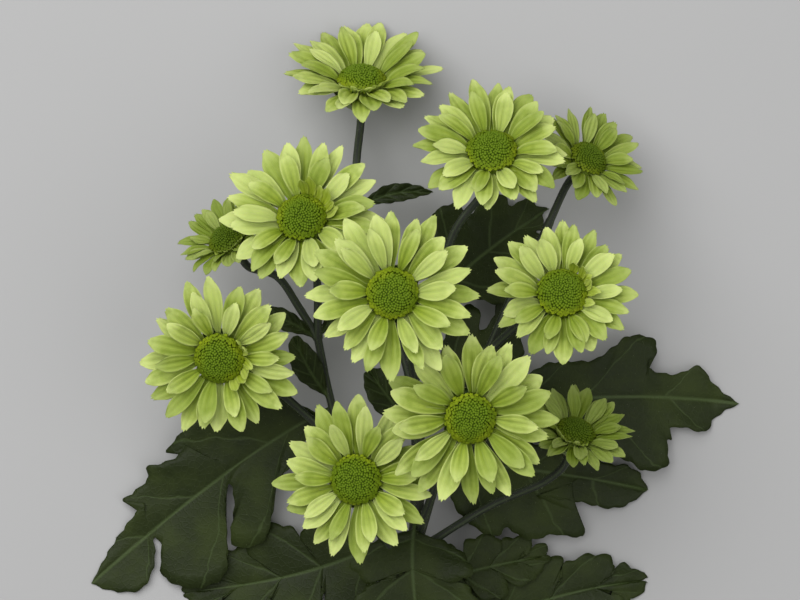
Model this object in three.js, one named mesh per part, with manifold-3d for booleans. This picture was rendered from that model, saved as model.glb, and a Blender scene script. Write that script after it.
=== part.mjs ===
// Green spray chrysanthemum: one cut stem with eleven daisy blooms and its lobed leaves, laid on its back.
// Millimetres, +Z up, +Y from the cut end of the stem towards the top bloom. The blooms look up.
import * as THREE from "three";
import { ConvexGeometry } from "three/addons/geometries/ConvexGeometry.js";
import { mergeVertices } from "three/addons/utils/BufferGeometryUtils.js";
import Module from "manifold-3d";

const wasm = await Module();
wasm.setup();

// Driving dimensions
const HEAD_AT = [-6, 75.5, 0]; // where the middle of the flower head lies in the part's frame
const SEAT_GAP = 0.3; // clearance between pieces that grow on each other
const HUB_RADIUS = 10.3; // receptacle that the ray petals grow from
const ROOT_RADIUS = 8.6; // petal roots start this far from the bloom's axis, inside the hub
const ROOT_DEPTH = 6.8; // and taper to a point this far from it
const PETAL_STATIONS = [0.38,0.8]; // where a petal's sections stand between its root and its tip
const HUB_TOP = 2.4;
const HUB_BOTTOM = -3.0;
const DISC_RADIUS = 8.8;
const DISC_HEIGHT = 5.2;
const DISC_POINTS = 40;
const FLORET_RELIEF = 0.55;
const CALYX_DEPTH = 10;
const PETAL_THICKNESS = 0.9;
const LEAF_THICKNESS = 1.2;
const STALK_THICKNESS = 2;
const STALK_HALF_WIDTH = 1.1;
const FINENESS = 0.06; // detail under this size is left out where pieces are fused
const STEM_RADIUS = 3.0;
const BRANCH_RADIUS = 1.7;
const PEDUNCLE_RADIUS = 1.6;

// The three rings of ray petals, from the back of the bloom to its disc.
// reach is a share of the bloom's radius; rise and droop are in degrees; width is a share of the radius too.
const RINGS = [
  { count: 12, root: 0.0, reach: 1.0, width: .235, rise: 15, droop: 14, fold: 0.3, cupped: 0.85 },
  { count: 12, root: 0.3, reach: 0.96, width: .23, rise: 25, droop: 16, fold: 0.32, cupped: 0.7 },
  { count: 10, root: 1.2, reach: 0.84, width: .21, rise: 37, droop: 20, fold: 0.34, cupped: 0.48 },
];

// Blooms, from the top of the head down. lean is the angle between a bloom's axis and straight up, and heading
// the way it leans: 0 is +X, 90 is +Y. cup is added to the rise of its rings: under 0 is flatter, over 0 is more
// closed. bend is added to the droop of the petals on the side away from the heading, which are shorter too.
const BLOOMS = [
  { at: [-15, 83.2, 18.8], lean: 53, heading: 88, radius: 33, cup: 18, bend: 30 },
  { at: [35, 55, 52], lean: 34, heading: 92, radius: 31.5, cup: 8, bend: 34 },
  { at: [71.6, 53.2, 32], lean: 45, heading: 52, radius: 24.9, cup: 14, bend: 32 },
  { at: [-36.6, 30, 62], lean: 25, heading: 105, radius: 32.5, cup: 4, bend: 22 },
  { at: [-65.2, 22.2, 40], lean: 50, heading: 126, radius: 21, cup: 23, bend: 26 },
  { at: [-2.8, 2.2, 94], lean: 6, heading: 90, radius: 31.5, cup: -3, bend: 0 },
  { at: [60.6, 1.6, 66], lean: 22, heading: 78, radius: 29.5, cup: 6, bend: 24 },
  { at: [-67.8, -21.4, 60], lean: 13, heading: 250, radius: 31, cup: -1, bend: 8 },
  { at: [25.9, -43.4, 84], lean: 9, heading: 265, radius: 33, cup: -2, bend: 0 },
  { at: [-16.1, -67.3, 66], lean: 9, heading: 190, radius: 31, cup: -1, bend: 0 },
  { at: [66.6, -52.2, 44], lean: 50, heading: 74, radius: 24.2, cup: 20, bend: 30 },
];
const BEND_SHORTENS = 0.004; // how much shorter a petal is for each degree of bend
const SMALL_BLOOM = 25; // blooms under this radius have a smaller disc and fewer petals
const SMALL_SCALE = 0.8;

// The stem and its branches, as the points of their centre lines. Each peduncle goes on to its bloom's calyx.
const STEM = [
  [12, -262, 2.77],
  [10, -215, 5.5],
  [7, -160, 10],
  [5.5, -107, 15],
  [6.6, -80, 18.5],
  [7, -55, 22],
  [5, -32, 24],
];
const LEFT_BRANCH = [
  [5.4, -114, 14.3],
  [-10.9, -85.5, 18],
  [-21.4, -58.3, 20],
  [-27.6, -36.2, 24],
  [-31.9, -14.4, 28],
];
const RIGHT_BRANCH = [
  [6.2, -98, 16],
  [21.4, -48, 21],
  [34, -20, 22],
  [47, 9, 22],
  [57.2, 28, 21.5],
];
const PEDUNCLES = {
  bloom_01: [[5, -34, 23.9], [-5.8, 3.9, 21], [-16.7, 33, 16], [-17.1, 52.5, 12.5]],
  bloom_02: [[5, -34, 23.9], [14, 0, 27], [21.4, 27, 31]],
  bloom_03: [[57.1, 27.8, 21.5]],
  bloom_04: [[-31.8, -14.8, 27.9], [-32, 8, 34]],
  bloom_05: [[-31.8, -14.8, 27.9], [-38.9, -3.1, 29], [-47.8, 9.3, 29.5]],
  bloom_06: [[7, -55, 22], [4, -22, 44]],
  bloom_07: [[34, -20, 22], [48, -8, 32]],
  bloom_08: [[-21.4, -58.3, 20], [-44, -38, 24]],
  bloom_09: [[6.4, -92, 16.8], [16, -66, 36]],
  bloom_10: [[5.4, -114, 14.3], [-6, -92, 28]],
  bloom_11: [[6.4, -98, 16], [35, -80, 21], [56.4, -70, 28]],
};

// Leaves: the midrib's place on the stem, the point that it bends towards and its tip, then the widest blade
// and how far each half rises from the midrib, in degrees.
const LEAVES = [
  { name: "leaf_01", midrib: [[-26, -42, 23], [-57, -55, 6], [-122, -112, -2.5]], width: 60, fold: 4 },
  { name: "leaf_02", midrib: [[-7, -94, 16.5], [-32, -110, 3], [-81, -115, -1.5]], width: 48, fold: 4 },
  { name: "leaf_03", midrib: [[6, -86, 19], [2, -104, 36], [11, -149, 14]], width: 56, fold: 6 },
  { name: "leaf_04", midrib: [[22, -46, 21], [74, -33, 14], [134, -41, -3]], width: 56, fold: 4 },
  { name: "leaf_05", midrib: [[6.8, -62, 20.5], [51, -65, 7], [98, -75, 0.5]], width: 50, fold: 4 },
  { name: "leaf_06", midrib: [[14, 0, 27], [28, 17, 8], [59, 36, -2]], width: 44, fold: 4 },
  { name: "leaf_07", midrib: [[7, -45, 22.8], [29, -16, 13], [55, -7, 6]], width: 36, fold: 4 },
  { name: "leaf_08", midrib: [[8.4, -140, 12], [47, -116, 4], [95, -111, 0]], width: 40, fold: 4 },
  { name: "leaf_09", midrib: [[5.6, -113, 14.4], [28, -105, 12], [56, -101, 5]], width: 30, fold: 4 },
  { name: "leaf_10", midrib: [[7.5, -165, 9.6], [-30, -176, 8], [-62, -206, -1]], width: 42, fold: 5 },
  { name: "leaf_11", midrib: [[8.4, -185, 8], [42, -204, 7], [68, -238, -1]], width: 38, fold: 5 },
  { name: "bract_01", midrib: [[-16.9, 36, 15.5], [-4, 44, 18.5], [13, 42, 15]], width: 9, fold: 8 },
  { name: "bract_02", midrib: [[-31.9, -15, 28], [-44, -6, 30], [-56, -5, 23]], width: 10, fold: 8 },
  { name: "bract_03", midrib: [[-31.9, -14, 28], [-24, -4, 30], [-13, 2, 24]], width: 9, fold: 8 },
  { name: "bract_04", midrib: [[-27.2, -38, 23.6], [-36, -28, 30], [-41, -14, 30]], width: 14, fold: 8 },
  { name: "bract_05", midrib: [[6.8, -50, 22.5], [-4, -40, 30], [-12, -27, 28]], width: 18, fold: 6 },
];

// The outlines of the leaves that show best: the share of the midrib that is a bare stalk, then the points
// of the left and of the right edge, from the stalk to the tip, which stand at even steps of the midrib.
const OUTLINES = {
  leaf_01: {
    stalk: 0.1,
    left: [
      [-31, -49], [-37, -55], [-42, -64], [-49, -73], [-50, -83], [-54, -95], [-66, -96],
      [-65, -79], [-67, -72], [-69, -78], [-68, -97], [-69, -108], [-77, -113], [-86, -113],
      [-94, -108], [-94, -97], [-97, -94], [-97, -104], [-102, -114], [-113, -115],
    ],
    right: [
      [-32, -44], [-38, -41], [-45, -38], [-53, -37], [-62, -39], [-70, -41], [-78, -44],
      [-85, -51], [-92, -60], [-85, -57], [-87, -61], [-93, -64], [-100, -66], [-99, -70],
      [-104, -75], [-109, -79], [-101, -80], [-105, -85], [-111, -93], [-116, -101],
    ],
  },
  leaf_04: {
    stalk: 0.2,
    left: [
      [44, -36], [49, -30], [57, -25], [65, -24], [71, -24], [77, -23], [84, -18],
      [90, -14], [99, -15], [101, -20], [98, -24], [98, -27], [104, -29], [110, -29],
      [118, -26], [122, -31], [127, -36],
    ],
    right: [
      [44, -41], [49, -47], [58, -55], [65, -60], [71, -62], [78, -61], [84, -61],
      [91, -64], [96, -67], [105, -65], [105, -56], [107, -55], [106, -51], [111, -50],
      [120, -52], [124, -47], [128, -44],
    ],
  },
  leaf_05: {
    stalk: 0.12,
    left: [
      [22, -54], [27, -51], [35, -49], [43, -49], [49, -51], [52, -56], [55, -57],
      [60, -55], [67, -54], [74, -56], [78, -61], [80, -64], [85, -65], [89, -65],
      [94, -68], [96, -71],
    ],
    right: [
      [19, -67], [20, -77], [23, -83], [31, -90], [38, -92], [42, -89], [46, -92],
      [52, -94], [60, -92], [72, -93], [69, -85], [54, -77], [62, -78], [73, -80],
      [81, -82], [89, -81],
    ],
  },
  leaf_06: {
    stalk: 0.12,
    left: [
      [20, 6], [18, 15], [14, 24], [13, 29], [13, 34], [18, 37], [23, 38],
      [27, 33], [31, 38], [36, 42], [41, 41], [44, 37], [49, 40], [52, 39],
      [55, 37],
    ],
    right: [
      [26, 1], [32, 0], [39, -2], [45, 0], [49, 5], [45, 11], [41, 15],
      [47, 14], [55, 15], [61, 20], [59, 24], [54, 27], [57, 28], [57, 31],
      [56, 34],
    ],
  },
  leaf_07: {
    stalk: 0.14,
    left: [
      [15, -24], [17, -16], [20, -7], [26, -2], [31, -4], [31, -12], [36, -8],
      [39, 1], [44, 0], [47, -4], [51, -3],
    ],
    right: [
      [18, -33], [24, -36], [31, -36], [36, -32], [35, -26], [34, -23], [41, -26],
      [46, -23], [49, -20], [47, -15], [51, -12],
    ],
  },
};

// Colours of the fresh flower.
const COLOURS = {
  rays: new THREE.Color(0.66, 0.74, 0.29),
  disc: new THREE.Color(0.33, 0.46, 0.1),
  calyx: new THREE.Color(0.22, 0.33, 0.12),
  stem: new THREE.Color(0.12, 0.17, 0.08),
  leaf: new THREE.Color(0.11, 0.16, 0.1),
};

const radians = (degrees) => (degrees * Math.PI) / 180;
const vector = (point) => new THREE.Vector3(...point);

// A repeatable scatter between -1 and 1 for one petal, tooth or leaf.
function scatter(seed, index) {
  const wave = Math.sin(seed * 12.9898 + index * 78.233) * 43758.5453;
  return 2 * (wave - Math.floor(wave)) - 1;
}

// Solids
function solidOf(geometry) {
  const bare = new THREE.BufferGeometry().setAttribute("position", geometry.getAttribute("position"));
  if (geometry.index) bare.setIndex(geometry.index);
  const merged = mergeVertices(bare, 1e-3);
  return new wasm.Manifold(
    new wasm.Mesh({
      numProp: 3,
      vertProperties: merged.attributes.position.array,
      triVerts: new Uint32Array(merged.index.array),
    }),
  );
}

function geometryOf(solid) {
  const mesh = solid.getMesh();
  return new THREE.BufferGeometry()
    .setAttribute("position", new THREE.BufferAttribute(mesh.vertProperties, 3))
    .setIndex(new THREE.BufferAttribute(mesh.triVerts, 1));
}

// The largest body of a solid, so that a cut leaves no loose scrap.
function largestBody(solid) {
  return solid.decompose().sort((a, b) => b.volume() - a.volume())[0];
}

// A closed blade from stations of left edge, top, right edge and bottom points. It ends in a single point,
// and starts in one too where a root is given, else in a flat end.
function bladeGeometry(stations, tip, root) {
  const points = [];
  const faces = [];
  for (const { left, top, right, bottom } of stations) points.push(left, top, right, bottom);
  points.push(tip);
  const end = points.length - 1;
  if (root) {
    points.push(root);
    faces.push(1, 0, end + 1, 2, 1, end + 1, 3, 2, end + 1, 0, 3, end + 1);
  } else faces.push(0, 3, 1, 1, 3, 2);
  const quad = (a, b, c, d) => faces.push(a, b, c, a, c, d);
  for (let i = 0; i + 1 < stations.length; i++) {
    const [here, next] = [4 * i, 4 * (i + 1)];
    quad(here, here + 1, next + 1, next);
    quad(here + 1, here + 2, next + 2, next + 1);
    faces.push(here + 2, here + 3, next + 2, next + 2, here + 3, next + 3);
    faces.push(here + 3, here, next + 3, next + 3, here, next);
  }
  const last = 4 * (stations.length - 1);
  faces.push(last, last + 1, end, last + 1, last + 2, end, last + 2, last + 3, end, last + 3, last, end);
  const flat = new Float32Array(points.flatMap((p) => [p.x, p.y, p.z]));
  const geometry = new THREE.BufferGeometry();
  geometry.setAttribute("position", new THREE.BufferAttribute(flat, 3));
  return geometry.setIndex(faces);
}

// Blooms
// The outline of a ray petal: its half width, as a share of the widest, at t from root (0) to tip (1).
function petalOutline(t) {
  const widest = 0.6;
  if (t < widest) return 0.28 + 0.72 * Math.sin((Math.PI / 2) * (t / widest)) ** 0.95;
  return 1 - ((t - widest) / (1 - widest)) ** 2.6;
}

// One petal of a bloom, seen along +X before it is turned to its place round the axis.
function petal(bloom, ring, index, turn) {
  const pick = (k) => scatter(bloom.seed * 7 + k, index);
  const bend = bloom.bend * (0.5 - 0.5 * Math.cos(turn - radians(bloom.heading)));
  const rise = radians(ring.rise + ring.cupped * bloom.cup + 4.5 * pick(1));
  const droop = radians(ring.droop + bend + 6 * pick(2));
  const reach = bloom.radius * ring.reach * (1 + 0.07 * pick(3)) * (1 - BEND_SHORTENS * bend);
  const length = reach - bloom.rootRadius;
  const half = (bloom.radius * ring.width * (1 + 0.15 * pick(4))) / 2;
  const roll = radians(8 * pick(5));
  const sway = 1.8 * pick(6);
  const station = (t) => {
    const slope = rise - droop * t;
    const along = bloom.rootRadius + (length * (Math.sin(rise) - Math.sin(slope))) / droop;
    const up = ring.root + (length * (Math.cos(slope) - Math.cos(rise))) / droop;
    const centre = new THREE.Vector3(along, sway * t * t, up);
    const across = new THREE.Vector3(0, Math.cos(roll), 0).addScaledVector(
      new THREE.Vector3(-Math.sin(slope), 0, Math.cos(slope)),
      Math.sin(roll),
    );
    const over = new THREE.Vector3(-Math.sin(slope), 0, Math.cos(slope))
      .multiplyScalar(Math.cos(roll))
      .addScaledVector(new THREE.Vector3(0, 1, 0), -Math.sin(roll));
    const width = half * petalOutline(t);
    const lift = ring.fold * (1 - 0.6 * t) * Math.min(1, 3 * t) * width;
    return {
      left: centre.clone().addScaledVector(across, width).addScaledVector(over, lift),
      right: centre.clone().addScaledVector(across, -width).addScaledVector(over, lift),
      top: centre.clone().addScaledVector(over, PETAL_THICKNESS / 2),
      bottom: centre.clone().addScaledVector(over, -PETAL_THICKNESS / 2),
      centre,
    };
  };
  const root = new THREE.Vector3(ROOT_DEPTH * bloom.scale, 0, ring.root);
  return bladeGeometry(PETAL_STATIONS.map(station), station(1).centre, root);
}

// The ray petals of a bloom, fused to the hub that they grow from.
function raysSolid(bloom) {
  const k = bloom.scale;
  const hub = new THREE.LatheGeometry(
    [
      [0, HUB_BOTTOM],
      [7.5, HUB_BOTTOM],
      [HUB_RADIUS, -0.9],
      [HUB_RADIUS - 0.6, HUB_TOP],
      [0, HUB_TOP],
    ].map(([r, z]) => new THREE.Vector2(r * k, z * k)),
    8,
  ).rotateX(Math.PI / 2);
  const parts = [solidOf(hub)];
  for (const [ringIndex, ring] of bloom.rings.entries()) {
    for (let i = 0; i < ring.count; i++) {
      const index = ringIndex * 40 + i;
      const place = (2 * Math.PI * (i + 0.5 * ringIndex)) / ring.count;
      const turn = place + radians(4.5 * scatter(bloom.seed, index));
      parts.push(solidOf(petal(bloom, ring, index, turn).rotateZ(turn)));
    }
  }
  return wasm.Manifold.union(parts).simplify(FINENESS);
}

// The disc: a dome of florets on a sunflower spiral, raised in turn along its spirals.
function discGeometry(bloom) {
  const golden = Math.PI * (3 - Math.sqrt(5));
  const points = [];
  for (let i = 0; i < DISC_POINTS; i++) {
    const share = Math.sqrt((i + 0.5) / DISC_POINTS);
    const height = DISC_HEIGHT * (1 - share ** 2.4);
    points.push(new THREE.Vector3(Math.cos(i * golden) * share, Math.sin(i * golden) * share, height));
  }
  const rim = 14;
  for (let i = 0; i < rim; i++) {
    const turn = (2 * Math.PI * i) / rim;
    points.push(new THREE.Vector3(Math.cos(turn) * 1.02, Math.sin(turn) * 1.02, 0));
    points.push(new THREE.Vector3(Math.cos(turn) * 0.95, Math.sin(turn) * 0.95, -0.3));
  }
  const dome = points.map((p) => new THREE.Vector3(p.x * DISC_RADIUS, p.y * DISC_RADIUS, p.z));
  const geometry = mergeVertices(new ConvexGeometry(dome).deleteAttribute("normal"), 1e-4);
  const position = geometry.getAttribute("position");
  for (let v = 0; v < position.count; v++) {
    const here = new THREE.Vector3().fromBufferAttribute(position, v);
    const index = dome.slice(0, DISC_POINTS).findIndex((p) => p.distanceTo(here) < 1e-3);
    if (index >= 0 && index % 2 === 0) {
      const out = new THREE.Vector3(here.x * 0.06, here.y * 0.06, 1).normalize();
      here.addScaledVector(out, FLORET_RELIEF);
    }
    here.z += HUB_TOP + SEAT_GAP + 0.3;
    here.multiplyScalar(bloom.scale);
    position.setXYZ(v, here.x, here.y, here.z);
  }
  return geometry;
}

// The calyx: a cup of green bracts under the hub, with a flat seat for the peduncle.
function calyxGeometry(bloom) {
  const slices = 8;
  const geometry = new THREE.LatheGeometry(
    [
      [0, -CALYX_DEPTH],
      [2.4, -CALYX_DEPTH],
      [6.4, -7.0],
      [9.2, -4.0],
      [10.4, -2.2],
      [7.6, HUB_BOTTOM - SEAT_GAP],
      [0, HUB_BOTTOM - SEAT_GAP],
    ].map(([r, z]) => new THREE.Vector2(r * bloom.scale, z * bloom.scale)),
    slices,
  ).rotateX(Math.PI / 2);
  const position = geometry.getAttribute("position");
  for (let v = 0; v < position.count; v++) {
    const here = new THREE.Vector3().fromBufferAttribute(position, v);
    const radius = Math.hypot(here.x, here.y);
    if (radius < 5 * bloom.scale || here.z > -3.5 * bloom.scale) continue;
    const slice = Math.round((Math.atan2(here.y, here.x) / (2 * Math.PI)) * slices);
    const row = here.z < -6 * bloom.scale ? 0 : 1;
    const bulge = (slice + row) % 2 === 0 ? 1.04 : 0.95;
    position.setXYZ(v, here.x * bulge, here.y * bulge, here.z);
  }
  return geometry;
}

// Turns a bloom's own axis, +Z, to the way that the bloom looks.
function bloomTurn(bloom) {
  const look = new THREE.Vector3(
    Math.sin(radians(bloom.lean)) * Math.cos(radians(bloom.heading)),
    Math.sin(radians(bloom.lean)) * Math.sin(radians(bloom.heading)),
    Math.cos(radians(bloom.lean)),
  );
  return new THREE.Quaternion().setFromUnitVectors(new THREE.Vector3(0, 0, 1), look);
}

function sizedBloom(bloom, index) {
  const seed = index + 1;
  const name = `bloom_${String(seed).padStart(2, "0")}`;
  const small = bloom.radius < SMALL_BLOOM;
  const scale = small ? SMALL_SCALE : bloom.radius / 31 < 0.93 ? 0.94 : 1;
  const fewer = small ? 2 : 0;
  const rings = RINGS.map((ring) => ({ ...ring, root: ring.root * scale, count: ring.count - fewer }));
  return { ...bloom, name, seed, scale, rings, rootRadius: ROOT_RADIUS * scale };
}

// Stem
function tube(points, radius, sides, steps) {
  const section = new THREE.Shape();
  for (let i = 0; i < sides; i++) {
    const turn = (2 * Math.PI * (i + 0.5)) / sides;
    const corner = [Math.cos(turn) * radius, Math.sin(turn) * radius];
    if (i === 0) section.moveTo(...corner);
    else section.lineTo(...corner);
  }
  section.closePath();
  const path = new THREE.CatmullRomCurve3(points.map(vector), false, "centripetal");
  return solidOf(new THREE.ExtrudeGeometry(section, { extrudePath: path, steps, bevelEnabled: false }));
}

// A peduncle's points, led into the calyx along the bloom's axis.
function peduncleRoute(bloom) {
  const look = new THREE.Vector3(0, 0, 1).applyQuaternion(bloomTurn(bloom));
  const seat = vector(bloom.at).addScaledVector(look, -(CALYX_DEPTH * bloom.scale + SEAT_GAP));
  const lead = seat.clone().addScaledVector(look, -7);
  return [...PEDUNCLES[bloom.name], lead.toArray(), seat.toArray()];
}

// The whole branched stem. grown is added to every radius, which gives a clearance body for the leaf stalks.
function stemSolid(blooms, grown) {
  const parts = [
    tube(STEM, STEM_RADIUS + grown, 8, 10),
    tube(LEFT_BRANCH, BRANCH_RADIUS + grown, 6, 8),
    tube(RIGHT_BRANCH, BRANCH_RADIUS + grown, 6, 8),
    ...blooms.map((bloom) => tube(peduncleRoute(bloom), PEDUNCLE_RADIUS + grown, 5, 6)),
  ];
  return wasm.Manifold.union(parts).simplify(FINENESS);
}

// Leaves
const PETIOLE_SHARE = 0.13; // part of the midrib that is a bare stalk
const LOBE_ENDS = [0, 0.3, 0.55, 0.78, 1]; // where the lobes of one side meet, along the blade
const LOBE_REACH = [0.82, 1.0, 0.88];
const LOBE_ANGLE = [82, 60, 43]; // from the midrib, degrees
const LOBE_FAN = 15;
const SINUS_REACH = 0.4;
const TERMINAL_REACH = 0.74;
const TERMINAL_ANGLE = 40;
const LOBED_STATIONS = [
  0.02, 0.07, 0.16, 0.24, 0.28, 0.3, 0.32, 0.37, 0.43, 0.49, 0.53,
  0.55, 0.57, 0.62, 0.68, 0.73, 0.76, 0.78, 0.8, 0.85, 0.91, 0.96,
];
const PLAIN_STATIONS = [0.06, 0.25, 0.45, 0.65, 0.84];

// How far a lobed blade reaches from its midrib at u, as a share of its half width, and in which direction.
function lobedEdge(u) {
  const k = Math.min(LOBE_ENDS.findIndex((end, i) => i > 0 && u <= end + 1e-9), LOBE_ENDS.length - 1) - 1;
  const v = (2 * (u - LOBE_ENDS[k])) / (LOBE_ENDS[k + 1] - LOBE_ENDS[k]) - 1;
  if (k === 3) {
    const q = (v + 1) / 2;
    const reach = Math.min(TERMINAL_REACH * Math.sqrt(1 - q), SINUS_REACH + 2.2 * q);
    return { reach, angle: TERMINAL_ANGLE * (1 - q) };
  }
  const rounded = Math.sqrt(Math.max(0, 1 - Math.abs(v) ** 2.6));
  const reach = LOBE_REACH[k] * (SINUS_REACH + (1 - SINUS_REACH) * rounded);
  const narrowed = k === 0 && v < 0 ? 0.35 + 0.65 * (v + 1) : 1;
  return { reach: reach * narrowed, angle: LOBE_ANGLE[k] - LOBE_FAN * v };
}

function plainEdge(u) {
  return { reach: Math.sin(Math.PI * u ** 0.8) ** 0.75, angle: 70 - 45 * u };
}

// Where the edge of a leaf stands beside its midrib at u, from the midrib's point and direction there.
function ruledEdge(leaf, seed, u, sign, centre, along) {
  const { reach, angle } = leaf.name.startsWith("bract") ? plainEdge(u) : lobedEdge(u);
  const length = ((reach * leaf.width) / 2) * (1 + 0.07 * scatter(seed + sign, Math.round(u * 100)));
  const turn = Math.atan2(along.y, along.x) + sign * radians(angle);
  return [centre.x + Math.cos(turn) * length, centre.y + Math.sin(turn) * length];
}

function leafGeometry(leaf, seed) {
  const midrib = new THREE.QuadraticBezierCurve3(...leaf.midrib.map(vector));
  const onFloor = (point) => point.setZ(Math.max(point.z, 0));
  const stationAt = (t, edgeAt, thickness) => {
    const centre = midrib.getPoint(t);
    const tangent = midrib.getTangent(t);
    const along = tangent.clone().setZ(0).normalize();
    const side = new THREE.Vector3(-along.y, along.x, 0);
    const edge = (sign) => {
      const [x, y] = edgeAt(sign, centre, along);
      const reach = new THREE.Vector3(x - centre.x, y - centre.y, 0);
      const folded = Math.tan(radians(leaf.fold)) * Math.abs(reach.dot(side));
      return onFloor(new THREE.Vector3(x, y, centre.z + folded + tangent.z * reach.dot(along)));
    };
    const bottom = onFloor(centre.clone().setZ(centre.z - thickness / 2));
    const top = bottom.clone().setZ(bottom.z + thickness);
    return { left: edge(1), right: edge(-1), top, bottom };
  };
  const stalkEdge = (sign, centre, along) => {
    const half = sign * STALK_HALF_WIDTH;
    return [centre.x - half * along.y, centre.y + half * along.x];
  };
  const outline = OUTLINES[leaf.name];
  const stalk = outline ? outline.stalk : PETIOLE_SHARE;
  const stations = [0, 0.6 * stalk].map((t) => stationAt(t, stalkEdge, STALK_THICKNESS));
  if (outline) {
    for (const [i, left] of outline.left.entries()) {
      const t = stalk + ((1 - stalk) * i) / outline.left.length;
      stations.push(stationAt(t, (sign) => (sign > 0 ? left : outline.right[i]), LEAF_THICKNESS));
    }
  } else {
    for (const u of leaf.name.startsWith("bract") ? PLAIN_STATIONS : LOBED_STATIONS) {
      const edgeAt = (sign, centre, along) => ruledEdge(leaf, seed, u, sign, centre, along);
      stations.push(stationAt(stalk + (1 - stalk) * u, edgeAt, LEAF_THICKNESS));
    }
  }
  return bladeGeometry(stations, onFloor(vector(leaf.midrib[2])).add(new THREE.Vector3(0, 0, 0.05)));
}

// Assembly
function named(name, geometry, colour, roughness) {
  const material = new THREE.MeshStandardMaterial({ color: colour, roughness, metalness: 0 });
  const mesh = new THREE.Mesh(geometry, material);
  mesh.name = name;
  return mesh;
}

function buildSpray() {
  const spray = new THREE.Group();
  const head = new THREE.Group();
  head.position.set(...HEAD_AT);
  spray.add(head);
  const blooms = BLOOMS.map(sizedBloom);
  for (const bloom of blooms) {
    const flower = new THREE.Group();
    flower.position.set(...bloom.at);
    flower.quaternion.copy(bloomTurn(bloom));
    flower.add(named(`${bloom.name}_rays`, geometryOf(raysSolid(bloom)), COLOURS.rays, 0.55));
    flower.add(named(`${bloom.name}_disc`, discGeometry(bloom), COLOURS.disc, 0.7));
    flower.add(named(`${bloom.name}_calyx`, calyxGeometry(bloom), COLOURS.calyx, 0.7));
    head.add(flower);
  }
  head.add(named("stem", geometryOf(stemSolid(blooms, 0)), COLOURS.stem, 0.65));
  const clearance = stemSolid(blooms, SEAT_GAP);
  for (const [i, leaf] of LEAVES.entries()) {
    const cut = largestBody(solidOf(leafGeometry(leaf, 31 + i)).subtract(clearance));
    head.add(named(leaf.name, geometryOf(cut), COLOURS.leaf, 0.6));
  }
  return spray;
}

export default buildSpray();
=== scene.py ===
"""Looks of a green spray chrysanthemum: a cut stem, eleven daisy blooms and lobed leaves, on its back."""

import logging
import math
from dataclasses import dataclass
from enum import Enum
from typing import Iterator, Sequence

import bpy
from mathutils import Matrix, Quaternion, Vector


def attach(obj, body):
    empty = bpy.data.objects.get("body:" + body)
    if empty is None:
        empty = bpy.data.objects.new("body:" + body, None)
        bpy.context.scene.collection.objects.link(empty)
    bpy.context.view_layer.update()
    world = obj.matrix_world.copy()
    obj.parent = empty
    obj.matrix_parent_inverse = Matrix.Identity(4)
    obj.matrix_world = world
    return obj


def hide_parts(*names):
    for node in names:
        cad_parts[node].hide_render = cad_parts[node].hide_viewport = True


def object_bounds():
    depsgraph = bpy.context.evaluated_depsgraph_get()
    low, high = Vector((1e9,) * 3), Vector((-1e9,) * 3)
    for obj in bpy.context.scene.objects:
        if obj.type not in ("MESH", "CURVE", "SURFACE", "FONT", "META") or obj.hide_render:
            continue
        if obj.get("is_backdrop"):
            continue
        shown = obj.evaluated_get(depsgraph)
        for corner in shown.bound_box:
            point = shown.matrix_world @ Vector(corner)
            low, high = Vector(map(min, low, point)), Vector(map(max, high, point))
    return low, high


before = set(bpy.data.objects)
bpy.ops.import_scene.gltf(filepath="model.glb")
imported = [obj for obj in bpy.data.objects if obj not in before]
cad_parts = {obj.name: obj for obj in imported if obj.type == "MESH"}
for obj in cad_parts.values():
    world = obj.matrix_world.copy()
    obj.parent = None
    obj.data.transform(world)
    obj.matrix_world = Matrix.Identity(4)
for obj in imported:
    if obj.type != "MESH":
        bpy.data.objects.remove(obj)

LOG = logging.getLogger("spray")

MM = 0.001
HEAD_AT = Vector((-6.0, 75.5, 0.0))  # the middle of the flower head in the part's frame, mm
UP = Vector((0.0, 0.0, 1.0))
GOLDEN_ANGLE = math.pi * (3.0 - math.sqrt(5.0))

# The bloom, mm
ROOT_RADIUS = 8.6
DISC_RADIUS = 8.8
DISC_HEIGHT = 5.2
DISC_BASE = 3.0
DISC_POWER = 2.4
CALYX_DEPTH = 10.0
SEAT_GAP = 0.3
BEND_SHORTENS = 0.004
SMALL_BLOOM = 25.0  # a bloom of a smaller radius has fewer petals and smaller parts
SMALL_SCALE = 0.8
SMALL_FEWER = 2  # petals fewer in each ring of a small bloom

# The florets, as shares of their full size
FLORET_MIDDLE = 0.78
FLORET_GROWTH = 0.36
FLORET_STRAY = 0.16
FLORET_SPIN = 3.0  # radians either way

# The hairs, as shares of their full length
HAIR_SHORTEST = 0.55
HAIR_LONGEST = 1.1

Point = tuple[float, float, float]
Flat = tuple[float, float]
Colour = tuple[float, float, float, float]

ZERO: Point = (0.0, 0.0, 0.0)


def scatter(seed: float, index: float) -> float:
    """Gives a repeatable number between -1 and 1 for one petal, tooth or leaf.

    Args:
        seed: Tells one bloom or one leaf from the next.
        index: Tells one petal or one tooth from the next.

    Returns:
        The number.
    """
    wave = math.sin(seed * 12.9898 + index * 78.233) * 43758.5453
    return 2.0 * (wave - math.floor(wave)) - 1.0


def smooth(low: float, high: float, value: float) -> float:
    """Rises smoothly from 0 at low to 1 at high.

    Args:
        low: Where the rise starts.
        high: Where it ends.
        value: Where it is read.

    Returns:
        The share of the rise.
    """
    share = min(1.0, max(0.0, (value - low) / (high - low)))
    return share * share * (3.0 - 2.0 * share)


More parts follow.
